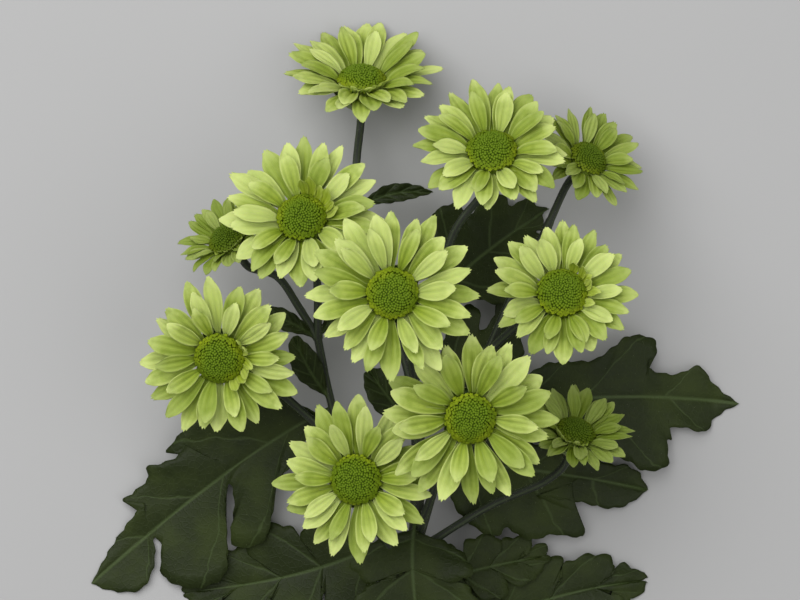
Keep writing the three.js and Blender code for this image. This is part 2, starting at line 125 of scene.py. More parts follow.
def spline(a: float, b: float, c: float, d: float, share: float) -> float:
    """Reads a cubic that runs from b to c on the way from a to d.

    Args:
        a: The value before the stretch.
        b: The value at its start.
        c: The value at its end.
        d: The value after it.
        share: Where on the stretch it is read.

    Returns:
        The value there.
    """
    return b + 0.5 * share * (
        c - a + share * (2.0 * a - 5.0 * b + 4.0 * c - d + share * (3.0 * (b - c) + d - a))
    )


def srgb(red: int, green: int, blue: int) -> Colour:
    """Turns a screen colour, 0 to 255, into the linear colour of a shader.

    Args:
        red: Its red.
        green: Its green.
        blue: Its blue.

    Returns:
        The linear colour, opaque.
    """
    levels = [value / 255.0 for value in (red, green, blue)]
    linear = [level / 12.92 if level <= 0.04045 else ((level + 0.055) / 1.055) ** 2.4 for level in levels]
    return (linear[0], linear[1], linear[2], 1.0)


class Slot(Enum):
    """The finishes."""

    PETAL = "petal"
    DISC = "disc"
    CALYX = "calyx"
    STEM = "stem"
    LEAF = "leaf"


class Draft:
    """Points in millimetres, faces and surface values of one piece while it is being made."""

    def __init__(self) -> None:
        """Starts an empty piece."""
        self.points: list[Vector] = []
        self.faces: list[tuple[int, ...]] = []
        self.surface: list[Point] = []
        self.detail: list[Point] = []

    def add(self, point: Vector, surface: Point, detail: Point = ZERO) -> int:
        """Adds a point.

        Args:
            point: Its place, mm.
            surface: Where it is on its petal, leaf or tube, for the finish.
            detail: More values for the finish.

        Returns:
            Its number.
        """
        self.points.append(point)
        self.surface.append(surface)
        self.detail.append(detail)
        return len(self.points) - 1

    def strip(self, near: Sequence[int], far: Sequence[int]) -> None:
        """Joins two rows of points. Either row may be one point.

        Args:
            near: The first row.
            far: The next row.
        """
        if len(near) == 1:
            self.faces += [(near[0], far[j + 1], far[j]) for j in range(len(far) - 1)]
        elif len(far) == 1:
            self.faces += [(near[j], near[j + 1], far[0]) for j in range(len(near) - 1)]
        else:
            self.faces += [(near[j], near[j + 1], far[j + 1], far[j]) for j in range(len(near) - 1)]

    def sheet(self, over: list[list[int]], under: list[list[int]]) -> None:
        """Closes a thin sheet from the rows of its upper and of its under side.

        Args:
            over: Rows of the upper side. The last may be a single point.
            under: Rows of the under side, as long as those of the upper side.
        """
        for near, far in zip(over, over[1:]):
            self.strip(near, far)
        for near, far in zip(under, under[1:]):
            self.strip(near[::-1], far[::-1])
        rim, low = (self.edge(rows) for rows in (over, under))
        for j in range(len(rim)):
            k = (j + 1) % len(rim)
            self.faces.append((rim[j], rim[k], low[k], low[j]))

    @staticmethod
    def edge(rows: list[list[int]]) -> list[int]:
        """Lists the points round a sheet's side, once each.

        Args:
            rows: The rows of the side. The last may be a single point.

        Returns:
            The points, up its left edge, across its end, down its right edge and back across its start.
        """
        left = [row[0] for row in rows]
        right = [row[-1] for row in rows if len(row) > 1]
        return left + rows[-1][1:-1] + right[::-1] + rows[0][1:-1][::-1]

    def ring(self, radii: Sequence[float], height: float, surface: Point, detail: Point = ZERO) -> list[int]:
        """Adds a level ring of points round the axis.

        Args:
            radii: The radius at each point.
            height: The height of the ring.
            surface: The first values of its points.
            detail: The other values of its points.

        Returns:
            The points.
        """
        ring = []
        for j, radius in enumerate(radii):
            turn = 2.0 * math.pi * j / len(radii)
            point = Vector((radius * math.cos(turn), radius * math.sin(turn), height))
            ring.append(self.add(point, surface, detail))
        return ring

    def lathe(
        self, profile: Sequence[Flat], sides: int, scale: float, surface: Point = ZERO, detail: Point = ZERO
    ) -> None:
        """Adds a closed form that is round about the axis.

        Args:
            profile: Its radius and height at each ring, from below.
            sides: How many points a ring has.
            scale: Its size, as a share of the profile's.
            surface: The first values of its points.
            detail: The other values of its points.
        """
        rings = []
        for radius, height in profile:
            rings.append(self.ring([radius * scale] * sides, height * scale, surface, detail))
        self.tube(rings)

    def tube(self, rings: list[list[int]], closed: bool = True) -> None:
        """Joins rings of points into a skin.

        Args:
            rings: The rings, each from one turn to the next.
            closed: Whether both ends get a lid.
        """
        for near, far in zip(rings, rings[1:]):
            self.strip(near + near[:1], far + far[:1])
        if closed:
            self.faces.append(tuple(rings[0][::-1]))
            self.faces.append(tuple(rings[-1]))

    def mesh(self, name: str, frame_of: Matrix | None = None) -> bpy.types.Mesh:
        """Makes the mesh, in metres.

        Args:
            name: The mesh's name.
            frame_of: Where it is put, in metres, or None to put it in the flower head.

        Returns:
            The mesh, with its values in the attributes surface and detail.
        """
        mesh = bpy.data.meshes.new(name)
        shift = Vector(ZERO) if frame_of else HEAD_AT
        mesh.from_pydata([(point + shift) * MM for point in self.points], [], self.faces)
        for label, values in (("surface", self.surface), ("detail", self.detail)):
            layer = mesh.attributes.new(label, "FLOAT_VECTOR", "POINT")
            layer.data.foreach_set("vector", [number for value in values for number in value])
        if frame_of:
            mesh.transform(frame_of)
        mesh.polygons.foreach_set("use_smooth", [True] * len(mesh.polygons))
        mesh.update()
        return mesh


class Graph:
    """A node tree that is written as nested calls."""

    def __init__(self, tree: bpy.types.NodeTree) -> None:
        """Takes the tree that the nodes go into."""
        self.tree = tree

    def feed(self, socket: bpy.types.NodeSocket, value: object) -> None:
        """Links a socket to the node before it, or sets its value.

        Args:
            socket: The input.
            value: An output of another node, or the value.
        """
        if isinstance(value, bpy.types.NodeSocket):
            self.tree.links.new(value, socket)
        else:
            socket.default_value = value

    def node(self, kind: str, inputs: dict[str | int, object], **settings: object) -> bpy.types.Node:
        """Adds a node.

        Args:
            kind: Its type.
            inputs: Its inputs by name or number.
            settings: Its own settings.

        Returns:
            The node.
        """
        node = self.tree.nodes.new(kind)
        for key, value in settings.items():
            setattr(node, key, value)
        for key, value in inputs.items():
            self.feed(node.inputs[key], value)
        return node

    def math(self, operation: str, *values: object, clamp: bool = False) -> bpy.types.NodeSocket:
        """Adds a sum of one or two values.

        Args:
            operation: What is done.
            values: What it is done to.
            clamp: Whether the result is kept between 0 and 1.

        Returns:
            The result.
        """
        node = self.node("ShaderNodeMath", dict(enumerate(values)), operation=operation, use_clamp=clamp)
        return node.outputs[0]

    def ease(
        self, value: object, low: float, high: float, start: float = 0.0, end: float = 1.0
    ) -> bpy.types.NodeSocket:
        """Adds a smooth rise.

        Args:
            value: Where it is read.
            low: Where the rise starts.
            high: Where it ends.
            start: Its level before.
            end: Its level after.

        Returns:
            The level.
        """
        inputs = {"Value": value, "From Min": low, "From Max": high, "To Min": start, "To Max": end}
        return self.node("ShaderNodeMapRange", inputs, interpolation_type="SMOOTHSTEP").outputs[0]

    def combine(self, *parts: object) -> bpy.types.NodeSocket:
        """Makes a vector of its parts."""
        return self.node("ShaderNodeCombineXYZ", dict(enumerate(parts))).outputs[0]

    def split(self, vector: object) -> tuple[bpy.types.NodeSocket, ...]:
        """Takes a vector apart."""
        return tuple(self.node("ShaderNodeSeparateXYZ", {0: vector}).outputs)

    def moved(self, start: object, way: object, share: object) -> bpy.types.NodeSocket:
        """Adds a share of one vector to another.

        Args:
            start: The vector that is added to.
            way: The other vector.
            share: How much of it.

        Returns:
            The sum.
        """
        part = self.node("ShaderNodeVectorMath", {0: way, "Scale": share}, operation="SCALE").outputs[0]
        return self.node("ShaderNodeVectorMath", {0: start, 1: part}, operation="ADD").outputs[0]


class Shade(Graph):
    """The node tree of one finish."""

    def __init__(self, name: str) -> None:
        """Starts a material with a plain shader."""
        self.material = bpy.data.materials.new(name)
        self.material.use_nodes = True
        super().__init__(self.material.node_tree)
        self.shader = self.tree.nodes["Principled BSDF"]

    def values(self, name: str) -> tuple[bpy.types.NodeSocket, ...]:
        """Reads the three values of one of the piece's attributes."""
        return self.split(self.node("ShaderNodeAttribute", {}, attribute_name=name).outputs["Vector"])

    def spot(self) -> bpy.types.NodeSocket:
        """Reads the place on the object."""
        return self.node("ShaderNodeTexCoord", {}).outputs["Object"]

    def noise(
        self, scale: float, detail: float = 2.0, vector: bpy.types.NodeSocket | None = None
    ) -> bpy.types.NodeSocket:
        """Reads a noise between 0 and 1.

        Args:
            scale: Its grains in a metre, or in a unit of the vector.
            detail: How many finer layers it has.
            vector: Where it is read, or None for the place on the object.

        Returns:
            The noise.
        """
        place = self.spot() if vector is None else vector
        inputs = {"Vector": place, "Scale": scale, "Detail": detail}
        return self.node("ShaderNodeTexNoise", inputs).outputs[0]

    def blend(self, share: object, start: object, end: object, kind: str = "MIX") -> bpy.types.NodeSocket:
        """Mixes two colours.

        Args:
            share: How much of the second.
            start: The first colour.
            end: The second colour.
            kind: How they are mixed.

        Returns:
            The colour.
        """
        inputs = {0: share, 6: start, 7: end}
        return self.node("ShaderNodeMix", inputs, data_type="RGBA", blend_type=kind).outputs[2]

    def ramp(self, share: object, stops: dict[float, Colour]) -> bpy.types.NodeSocket:
        """Runs through a row of colours.

        Args:
            share: Where on the row, 0 to 1.
            stops: The colours by their place.

        Returns:
            The colour.
        """
        node = self.node("ShaderNodeValToRGB", {0: share})
        elements = node.color_ramp.elements
        while len(elements) < len(stops):
            elements.new(0.5)
        for element, (place, colour) in zip(elements, stops.items()):
            element.position = place
            element.color = colour
        return node.outputs[0]

    def bump(self, height: object, depth: float, strength: float = 1.0) -> None:
        """Adds relief over the relief that the shader already has.

        Args:
            height: The relief, 0 to 1.
            depth: Its full depth, mm.
            strength: How much of it shows.
        """
        inputs: dict[str | int, object] = {"Height": height, "Distance": depth * MM, "Strength": strength}
        normal = self.shader.inputs["Normal"]
        if normal.is_linked:
            inputs["Normal"] = normal.links[0].from_socket
        self.feed(normal, self.node("ShaderNodeBump", inputs).outputs[0])

    def finish(self, colour: object, roughness: object, specular: float = 0.5) -> bpy.types.Material:
        """Ends the finish.

        Args:
            colour: Its colour.
            roughness: Its roughness, 0 to 1.
            specular: How much light it mirrors, 0 to 1.

        Returns:
            The material.
        """
        levels = {"Base Color": colour, "Roughness": roughness, "Specular IOR Level": specular}
        for name, level in levels.items():
            self.feed(self.shader.inputs[name], level)
        return self.material


@dataclass(frozen=True)
class PetalFinish:
    """Lime green petal: deeper and yellower at its root, paler at its edge and tip, with fine veins.

    Its deeper root is partly painted shade and its paler tip partly painted light.
    Its grooves have painted shade.
    """

    # root and tip are partly the petal's own colour and partly painted: painted shade at the root, painted
    # light at the tip
    root: Colour = srgb(106, 128, 12)
    middle: Colour = srgb(143, 161, 48)
    outer: Colour = srgb(166, 182, 84)
    tip: Colour = srgb(200, 213, 132)
    # vein also colours the painted shade in the grooves
    vein: Colour = srgb(112, 132, 34)
    # painted shade: a deeper, more saturated green for a bloom that lies in shadow
    painted_shade_colour: Colour = srgb(88, 108, 8)
    young: Colour = srgb(150, 166, 34)
    back: Colour = srgb(166, 180, 104)
    veins: float = 7.0

    def make(self) -> bpy.types.Material:
        """Makes the material."""
        shade = Shade("petal")
        along, across, tint = shade.values("surface")
        top, young, dark = shade.values("detail")
        # root to tip: own colour plus painted shade at the root and painted light at the tip
        colour = shade.ramp(along, {0.0: self.root, 0.3: self.middle, 0.7: self.outer, 1.0: self.tip})
        edge = shade.math("POWER", shade.math("ABSOLUTE", across), 6.0)
        colour = shade.blend(shade.math("MULTIPLY", edge, 0.6), colour, self.tip)
        shift = shade.math("MULTIPLY", shade.noise(300.0, 4.0), 0.3)
        phase = shade.math("MULTIPLY", shade.math("ADD", across, shift), self.veins * math.pi)
        line = shade.math("POWER", shade.math("ABSOLUTE", shade.math("SINE", phase)), 0.6)
        lines = shade.math("MULTIPLY", shade.math("SUBTRACT", 1.0, line), shade.ease(along, 1.0, 0.6, 0.1))
        colour = shade.blend(shade.math("MULTIPLY", lines, 0.32), colour, self.vein)
        # painted shade down the bottoms of the two grooves, strongest near the root
        groove = shade.math("MULTIPLY", across, 3.0 * math.pi)
        groove = shade.ease(shade.math("COSINE", groove), -0.2, 1.0)
        groove = shade.math("MULTIPLY", groove, shade.ease(along, 1.0, 0.3, 0.0, 0.55))
        colour = shade.blend(groove, colour, self.vein)
        cloud = shade.noise(190.0, 4.0)
        colour = shade.blend(shade.ease(cloud, 0.42, 0.72, 0.0, 0.5), colour, self.root)
        colour = shade.blend(shade.ease(tint, -1.0, 0.2, 0.5, 0.0), colour, self.vein)
        colour = shade.blend(shade.ease(tint, 0.0, 1.0, 0.0, 0.5), colour, self.tip)
        colour = shade.blend(shade.math("MULTIPLY", young, 0.5), colour, self.young)
        # painted shade over a whole bloom that lies in shadow (dark is its shade value)
        colour = shade.blend(shade.math("MULTIPLY", dark, 0.72), colour, self.painted_shade_colour)
        below = shade.math("SUBTRACT", 1.0, top)
        colour = shade.blend(shade.math("MULTIPLY", below, 0.35), colour, self.back)
        shade.shader.inputs["Subsurface Weight"].default_value = 0.12
        shade.shader.inputs["Subsurface Radius"].default_value = (0.7, 1.0, 0.25)
        shade.shader.inputs["Subsurface Scale"].default_value = 0.001
        shade.bump(line, 0.07, 0.6)
        shade.bump(shade.noise(1800.0, 3.0), 0.05, 0.6)
        return shade.finish(colour, shade.ease(cloud, 0.3, 0.7, 0.5, 0.62), 0.25)


@dataclass(frozen=True)
class DiscFinish:
    """Florets: mid green buds in the middle of the disc, yellow green and open at its rim.

    Painted shade darkens them low down, between them, and a painted highlight lightens their tops.
    """

    # painted shade down between the florets, at their feet
    painted_gap_shade: Colour = srgb(52, 70, 6)
    middle: Colour = srgb(82, 108, 12)
    outer: Colour = srgb(94, 116, 8)
    rim: Colour = srgb(136, 150, 20)
    # painted highlight on the tops of the florets
    tip: Colour = srgb(128, 148, 36)

    def make(self) -> bpy.types.Material:
        """Makes the material."""
        shade = Shade("disc")
        share, random, dark = shade.values("place")
        rise, _, _ = shade.values("surface")
        patch = shade.math("MULTIPLY", shade.math("SUBTRACT", shade.noise(110.0, 2.0), 0.55), 0.9)
        place = shade.math("ADD", share, patch)
        colour = shade.ramp(place, {0.0: self.middle, 0.5: self.middle, 0.78: self.outer, 0.98: self.rim})
        # painted highlight on the floret tops
        colour = shade.blend(shade.ease(rise, 0.6, 1.05, 0.0, 0.35), colour, self.tip)
        # painted shade low between the florets
        colour = shade.blend(shade.ease(rise, 0.5, 0.0, 0.0, 0.8), colour, self.painted_gap_shade)
        colour = shade.blend(shade.math("MULTIPLY", random, 0.3), colour, self.middle)
        # painted shade over the disc of a bloom that lies in shadow
        colour = shade.blend(shade.math("MULTIPLY", dark, 0.6), colour, self.painted_gap_shade)
        shade.bump(shade.noise(3500.0, 2.0), 0.05, 0.5)
        return shade.finish(colour, shade.ease(rise, 0.0, 1.0, 0.75, 0.5), 0.12)


@dataclass(frozen=True)
class CalyxFinish:
    """Bracts of the calyx: green, with a darker keel and a thin brown-edged papery margin."""

    body: Colour = srgb(92, 118, 56)
    keel: Colour = srgb(52, 76, 30)
    margin: Colour = srgb(168, 160, 112)

    def make(self) -> bpy.types.Material:
        """Makes the material."""
        shade = Shade("calyx")
        along, across, _ = shade.values("surface")
        side = shade.math("ABSOLUTE", across)
        colour = shade.blend(shade.ease(side, 0.35, 0.05, 0.0, 0.8), self.body, self.keel)
        colour = shade.blend(shade.ease(shade.noise(420.0, 3.0), 0.4, 0.75, 0.0, 0.5), colour, self.keel)
        reach = shade.math("MAXIMUM", side, shade.math("MULTIPLY", along, 0.96))
        colour = shade.blend(shade.ease(reach, 0.78, 0.98, 0.0, 0.85), colour, self.margin)
        shade.bump(shade.noise(1800.0, 3.0), 0.06, 0.6)
        return shade.finish(colour, shade.ease(reach, 0.6, 1.0, 0.55, 0.8))


@dataclass(frozen=True)
class StemFinish:
    """Stem: dark green ribs with darker streaks, browner with age low down, and a pale pith at the cut."""

    groove: Colour = srgb(22, 30, 14)
    rib: Colour = srgb(48, 60, 30)
    wood: Colour = srgb(56, 50, 34)
    pith: Colour = srgb(186, 192, 148)
    bark: Colour = srgb(96, 112, 60)

    def make(self) -> bpy.types.Material:
        """Makes the material."""
        shade = Shade("stem")
        along, crest, age = shade.values("surface")
        cut, reach, _ = shade.values("detail")
        streak = shade.combine(along, shade.math("MULTIPLY", crest, 3.0), age)
        grain = shade.noise(5.0, 4.0, streak)
        colour = shade.blend(shade.ease(crest, 0.2, 0.9), self.groove, self.rib)
        colour = shade.blend(shade.ease(grain, 0.42, 0.7, 0.0, 0.6), colour, self.groove)
        woody = shade.math("MULTIPLY", age, shade.ease(shade.noise(90.0, 3.0), 0.35, 0.65))
        colour = shade.blend(shade.math("MULTIPLY", woody, 0.55), colour, self.wood)
        section = shade.blend(shade.ease(reach, 0.62, 0.82), self.pith, self.bark)
        colour = shade.blend(cut, colour, section)
        shade.bump(grain, 0.12, 0.6)
        shade.bump(shade.noise(2600.0, 2.0), 0.05, 0.5)
        return shade.finish(colour, shade.ease(grain, 0.3, 0.7, 0.48, 0.68))


@dataclass(frozen=True)
class LeafFinish:
    """Leaf: very dark green blade with a paler midrib and side veins, and a grey green under side."""

    blade: Colour = srgb(30, 39, 9)
    bright: Colour = srgb(45, 55, 19)
    vein: Colour = srgb(64, 78, 42)
    under: Colour = srgb(70, 86, 56)
    under_vein: Colour = srgb(110, 124, 84)

    def make(self) -> bpy.types.Material:
        """Makes the material."""
        shade = Shade("leaf")
        _, across, top = shade.values("surface")
        phase, lateral, pitch = shade.values("detail")
        side = shade.math("ABSOLUTE", across)
        wander = shade.math("MULTIPLY", shade.math("SUBTRACT", shade.noise(110.0, 2.0), 0.5), 0.14)
        place = shade.math("ADD", phase, wander)
        off = shade.math("SUBTRACT", place, shade.math("ROUND", place))
        away = shade.math("MULTIPLY", shade.math("ABSOLUTE", off), pitch)
        taper = shade.ease(side, 0.0, 1.0, 0.6, 0.2)
        side_vein = shade.ease(shade.math("DIVIDE", away, taper), 2.0, 0.2)
        midrib = shade.ease(lateral, 1.2, 0.1, 0.0, 0.85)
        inputs = {"Vector": shade.spot(), "Scale": 420.0}
        cells = shade.node("ShaderNodeTexVoronoi", inputs, feature="DISTANCE_TO_EDGE").outputs[0]
        net = shade.ease(cells, 0.14, 0.02)
        veins = shade.math("MAXIMUM", midrib, shade.math("MULTIPLY", side_vein, 0.5))
        veins = shade.math("MAXIMUM", veins, shade.math("MULTIPLY", net, 0.06))
        cloud = shade.noise(60.0, 4.0)
        upper = shade.blend(shade.ease(cloud, 0.38, 0.72), self.blade, self.bright)
        upper = shade.blend(veins, upper, self.vein)
        lower = shade.blend(veins, self.under, self.under_vein)
        colour = shade.blend(top, lower, upper)
        shade.bump(shade.math("SUBTRACT", 1.0, side_vein), 0.2, 0.5)
        shade.bump(net, 0.1, 0.6)
        shade.bump(shade.noise(1500.0, 3.0), 0.07, 0.6)
        return shade.finish(colour, shade.ease(cloud, 0.3, 0.75, 0.46, 0.6), 0.17)


@dataclass(frozen=True)
class HairFinish:
    """Short pale hairs."""

    colour: Colour = srgb(150, 160, 122)
    root: Colour = srgb(98, 112, 66)

    def make(self) -> bpy.types.Material:
        """Makes the material."""
        shade = Shade("hair")
        length, _, _ = shade.values("surface")
        patch = shade.ease(shade.noise(900.0), 0.3, 0.7, 0.0, 0.4)
        deeper = shade.blend(patch, self.colour, self.root)
        colour = shade.blend(shade.ease(length, 0.0, 1.0), deeper, self.colour)
        return shade.finish(colour, 0.6)


class Sprouts(Graph):
    """A geometry tree that is shared by several pieces and has named inputs."""

    def __init__(self, name: str) -> None:
        """Starts a tree with a geometry at each end."""
        tree = bpy.data.node_groups.new(name, "GeometryNodeTree")
        super().__init__(tree)
        tree.interface.new_socket("Geometry", in_out="INPUT", socket_type="NodeSocketGeometry")
        tree.interface.new_socket("Geometry", in_out="OUTPUT", socket_type="NodeSocketGeometry")
        self.start = tree.nodes.new("NodeGroupInput")
        self.end = tree.nodes.new("NodeGroupOutput")

    def ask(self, name: str, kind: str) -> bpy.types.NodeSocket:
        """Adds a named input.

        Args:
            name: The input's name.
            kind: What it takes.

        Returns:
            The socket that gives it.
        """
        self.tree.interface.new_socket(name, in_out="INPUT", socket_type="NodeSocket" + kind)
        return self.start.outputs[name]

    def chance(self, seed: bpy.types.NodeSocket) -> bpy.types.NodeSocket:
        """Draws a vector for each point, with parts between -1 and 1."""
        node = self.node("FunctionNodeRandomValue", {"Seed": seed}, data_type="FLOAT_VECTOR")
        node.inputs[0].default_value = (-1.0, -1.0, -1.0)
        node.inputs[1].default_value = (1.0, 1.0, 1.0)
        return node.outputs[0]

    def facing(self, way: bpy.types.NodeSocket) -> bpy.types.NodeSocket:
        """Turns +Z to a direction."""
        return self.node("FunctionNodeAlignRotationToVector", {"Vector": way}, axis="Z").outputs[0]

    def close(self, grown: bpy.types.NodeSocket, material: bpy.types.NodeSocket) -> None:
        """Ends the tree: instances are made real and get their material.

        Args:
            grown: What the tree made.
            material: Its material.
        """
        real = self.node("GeometryNodeRealizeInstances", {0: grown}).outputs[0]
        dressed = self.node("GeometryNodeSetMaterial", {"Geometry": real, "Material": material}).outputs[0]
        self.feed(self.end.inputs[0], dressed)

    def grow(self, base: bpy.types.Object, name: str, values: dict[str, object]) -> bpy.types.Mesh:
        """Runs the tree on an object.

        Args:
            base: The object that it starts from.
            name: The name of the result.
            values: The inputs by name.

        Returns:
            The result as a plain mesh.
        """
        modifier = base.modifiers.new("grow", "NODES")
        modifier.node_group = self.tree
        items = self.tree.interface.items_tree
        sockets = {item.name: item.identifier for item in items if item.in_out == "INPUT"}
        for label, value in values.items():
            modifier[sockets[label]] = value
        base.update_tag()
        graph = bpy.context.evaluated_depsgraph_get()
        solid = base.evaluated_get(graph)
        mesh = bpy.data.meshes.new_from_object(solid, preserve_all_data_layers=True, depsgraph=graph)
        mesh.name = name
        base.modifiers.remove(modifier)
        return mesh


def stand(mesh: bpy.types.Mesh) -> bpy.types.Object:
    """Puts a mesh in the scene, at the origin.

    Args:
        mesh: The mesh.

    Returns:
        Its object.
    """
    thing = bpy.data.objects.new(mesh.name, mesh)
    bpy.context.scene.collection.objects.link(thing)
    return thing


def declare(thing: bpy.types.Object, slot: Slot, node: str | None = None) -> bpy.types.Object:
    """Ties a finished piece to the frame and reports it.

    Args:
        thing: The piece.
        slot: The finish that it takes; not used.
        node: The solid that it stands for, if any.

    Returns:
        The piece.
    """
    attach(thing, "root")
    if node:
        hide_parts(node)
    LOG.info("%s: %d faces", thing.name, len(thing.data.polygons))
    return thing


def floret_tree() -> Sprouts:
    """Makes the tree that stands florets on a dome, on a sunflower spiral.

    Returns:
        The tree.
    """
    tree = Sprouts("floret spiral")
    lengths = ("Radius", "Height", "Base", "Size", "Stray")
    radius, height, base, size, stray = (tree.ask(name, "Float") for name in lengths)
    # Dark is the bloom's painted shade
    opened, dark = (tree.ask(name, "Float") for name in ("Open From", "Dark"))
    count, seed = (tree.ask(name, "Int") for name in ("Count", "Seed"))
    bud, floret = (tree.ask(name, "Object") for name in ("Bud", "Floret"))
    material = tree.ask("Material", "Material")
    index = tree.node("GeometryNodeInputIndex", {}).outputs[0]
    share = tree.math("SQRT", tree.math("DIVIDE", tree.math("ADD", index, 0.5), count))
    turn = tree.math("MULTIPLY", index, GOLDEN_ANGLE)
    across, back = tree.math("COSINE", turn), tree.math("SINE", turn)
    out = tree.math("MULTIPLY", share, radius)
    drop = tree.math("SUBTRACT", 1.0, tree.math("POWER", share, DISC_POWER))
    up = tree.math("ADD", base, tree.math("MULTIPLY", height, drop))
    spot = tree.combine(tree.math("MULTIPLY", across, out), tree.math("MULTIPLY", back, out), up)
    chance = tree.chance(seed)
    place = tree.moved(spot, chance, stray)
    draw, fresh, _ = tree.split(chance)
    values = tree.combine(share, tree.math("ABSOLUTE", draw), dark)
    cloud = tree.node("GeometryNodePoints", {"Count": count, "Position": place}).outputs[0]
    inputs = {"Geometry": cloud, "Name": "place", "Value": values}
    store = "GeometryNodeStoreNamedAttribute"
    points = tree.node(store, inputs, data_type="FLOAT_VECTOR", domain="POINT").outputs[0]
    slope = tree.math("POWER", share, DISC_POWER - 1.0)
    steep = tree.math("MULTIPLY", slope, DISC_POWER * DISC_HEIGHT / DISC_RADIUS)
    way = tree.combine(tree.math("MULTIPLY", across, steep), tree.math("MULTIPLY", back, steep), 1.0)
    turns = {0: tree.facing(way), 1: tree.combine(0.0, 0.0, tree.math("MULTIPLY", draw, FLORET_SPIN))}
    spun = tree.node("FunctionNodeRotateRotation", turns, rotation_space="LOCAL").outputs[0]
    further = tree.math("ADD", tree.math("MULTIPLY", share, FLORET_GROWTH), FLORET_MIDDLE)
    varied = tree.math("ADD", tree.math("MULTIPLY", fresh, FLORET_STRAY), 1.0)
    grown = tree.math("MULTIPLY", tree.math("MULTIPLY", size, further), varied)
    limits = {0: share, 1: opened}
    is_open = tree.node("FunctionNodeCompare", limits, data_type="FLOAT", operation="GREATER_THAN")
    is_shut = tree.node("FunctionNodeBooleanMath", {0: is_open.outputs[0]}, operation="NOT")
    whole = tree.node("GeometryNodeJoinGeometry", {})
    tree.feed(whole.inputs[0], tree.start.outputs[0])
    for source, chosen in ((bud, is_shut), (floret, is_open)):
        shape = tree.node("GeometryNodeObjectInfo", {"Object": source}).outputs["Geometry"]
        inputs = {"Points": points, "Selection": chosen.outputs[0], "Instance": shape}
        inputs |= {"Rotation": spun, "Scale": grown}
        tree.feed(whole.inputs[0], tree.node("GeometryNodeInstanceOnPoints", inputs).outputs[0])
    tree.close(whole.outputs[0], material)
    return tree


def hair_tree() -> Sprouts:
    """Makes the tree that stands short hairs all over a piece.

    Returns:
        The tree.
    """
    tree = Sprouts("short hairs")
    names = ("Density", "Length", "Thickness", "Lean")
    density, length, thickness, lean = (tree.ask(name, "Float") for name in names)
    seed = tree.ask("Seed", "Int")
    material = tree.ask("Material", "Material")
    inputs = {"Mesh": tree.start.outputs[0], "Density": density, "Seed": seed}
    spread = tree.node("GeometryNodeDistributePointsOnFaces", inputs)
    rotation = tree.facing(tree.moved(spread.outputs["Normal"], tree.chance(seed), lean))
    sizes = {"Vertices": 3, "Radius Top": 0.0, "Radius Bottom": thickness, "Depth": length}
    cone = tree.node("GeometryNodeMeshCone", sizes, fill_type="TRIANGLE_FAN").outputs["Mesh"]
    limits = {"Min": HAIR_SHORTEST, "Max": HAIR_LONGEST, "Seed": seed}
    drawn = tree.node("FunctionNodeRandomValue", limits, data_type="FLOAT")
    size = next(socket for socket in drawn.outputs if socket.enabled)
    inputs = {"Points": spread.outputs["Points"], "Instance": cone, "Rotation": rotation, "Scale": size}
    tree.close(tree.node("GeometryNodeInstanceOnPoints", inputs).outputs[0], material)
    return tree


@dataclass(frozen=True)
class Ring:
    """A ring of ray petals. Reach and width are shares of the bloom's radius, and angles are in degrees."""

    count: int
    root: float
    reach: float
    width: float
    rise: float
    droop: float
    fold: float
    cupped: float
    young: float = 0.0


RINGS = (
    Ring(count=12, root=0.0, reach=1.0, width=0.235, rise=15, droop=14, fold=0.3, cupped=0.85),
    Ring(count=12, root=0.3, reach=0.96, width=0.23, rise=25, droop=16, fold=0.32, cupped=0.7),
    Ring(count=10, root=1.2, reach=0.84, width=0.21, rise=37, droop=20, fold=0.34, cupped=0.48),
)
RING_FROM = 40  # the numbers of a ring's petals start at a multiple of this
YOUNG_FROM = 200
YOUNG = Ring(count=6, root=1.8, reach=0.56, width=0.13, rise=50, droop=-30, fold=0.6, cupped=0.3, young=1.0)


@dataclass(frozen=True)
class Bloom:
    """One daisy bloom.

    lean is the angle between its axis and straight up, and heading the way it leans: 0 is +X, 90 is +Y.
    cup is added to the rise of its rings. bend is added to the droop of its petals on the side away from the
    heading, which are shorter too. young_at is the turn where short petals still unfold beside its disc, if
    any. shade is painted shade for a bloom in shadow: how much deeper its green is painted, from 0 to 1.
    """

    number: int
    at: Point
    lean: float
    heading: float
    radius: float
    cup: float
    bend: float
    young_at: float | None = None
    shade: float = 0.0

    @property
    def name(self) -> str:
        """The start of its pieces' names."""
        return f"bloom_{self.number:02d}"

    @property
    def small(self) -> bool:
        """Whether it is one of the small blooms, which have fewer petals."""
        return self.radius < SMALL_BLOOM

    @property
    def scale(self) -> float:
        """The size of its disc, hub and calyx, as a share of a full bloom's."""
        return SMALL_SCALE if self.small else 1.0

    @property
    def turn(self) -> Quaternion:
        """Turns +Z to the way that the bloom looks."""
        lean, heading = math.radians(self.lean), math.radians(self.heading)
        flat = math.sin(lean)
        look = Vector((flat * math.cos(heading), flat * math.sin(heading), math.cos(lean)))
        return UP.rotation_difference(look)

    @property
    def place(self) -> Matrix:
        """Where the bloom stands, in metres."""
        return Matrix.Translation((HEAD_AT + Vector(self.at)) * MM) @ self.turn.to_matrix().to_4x4()


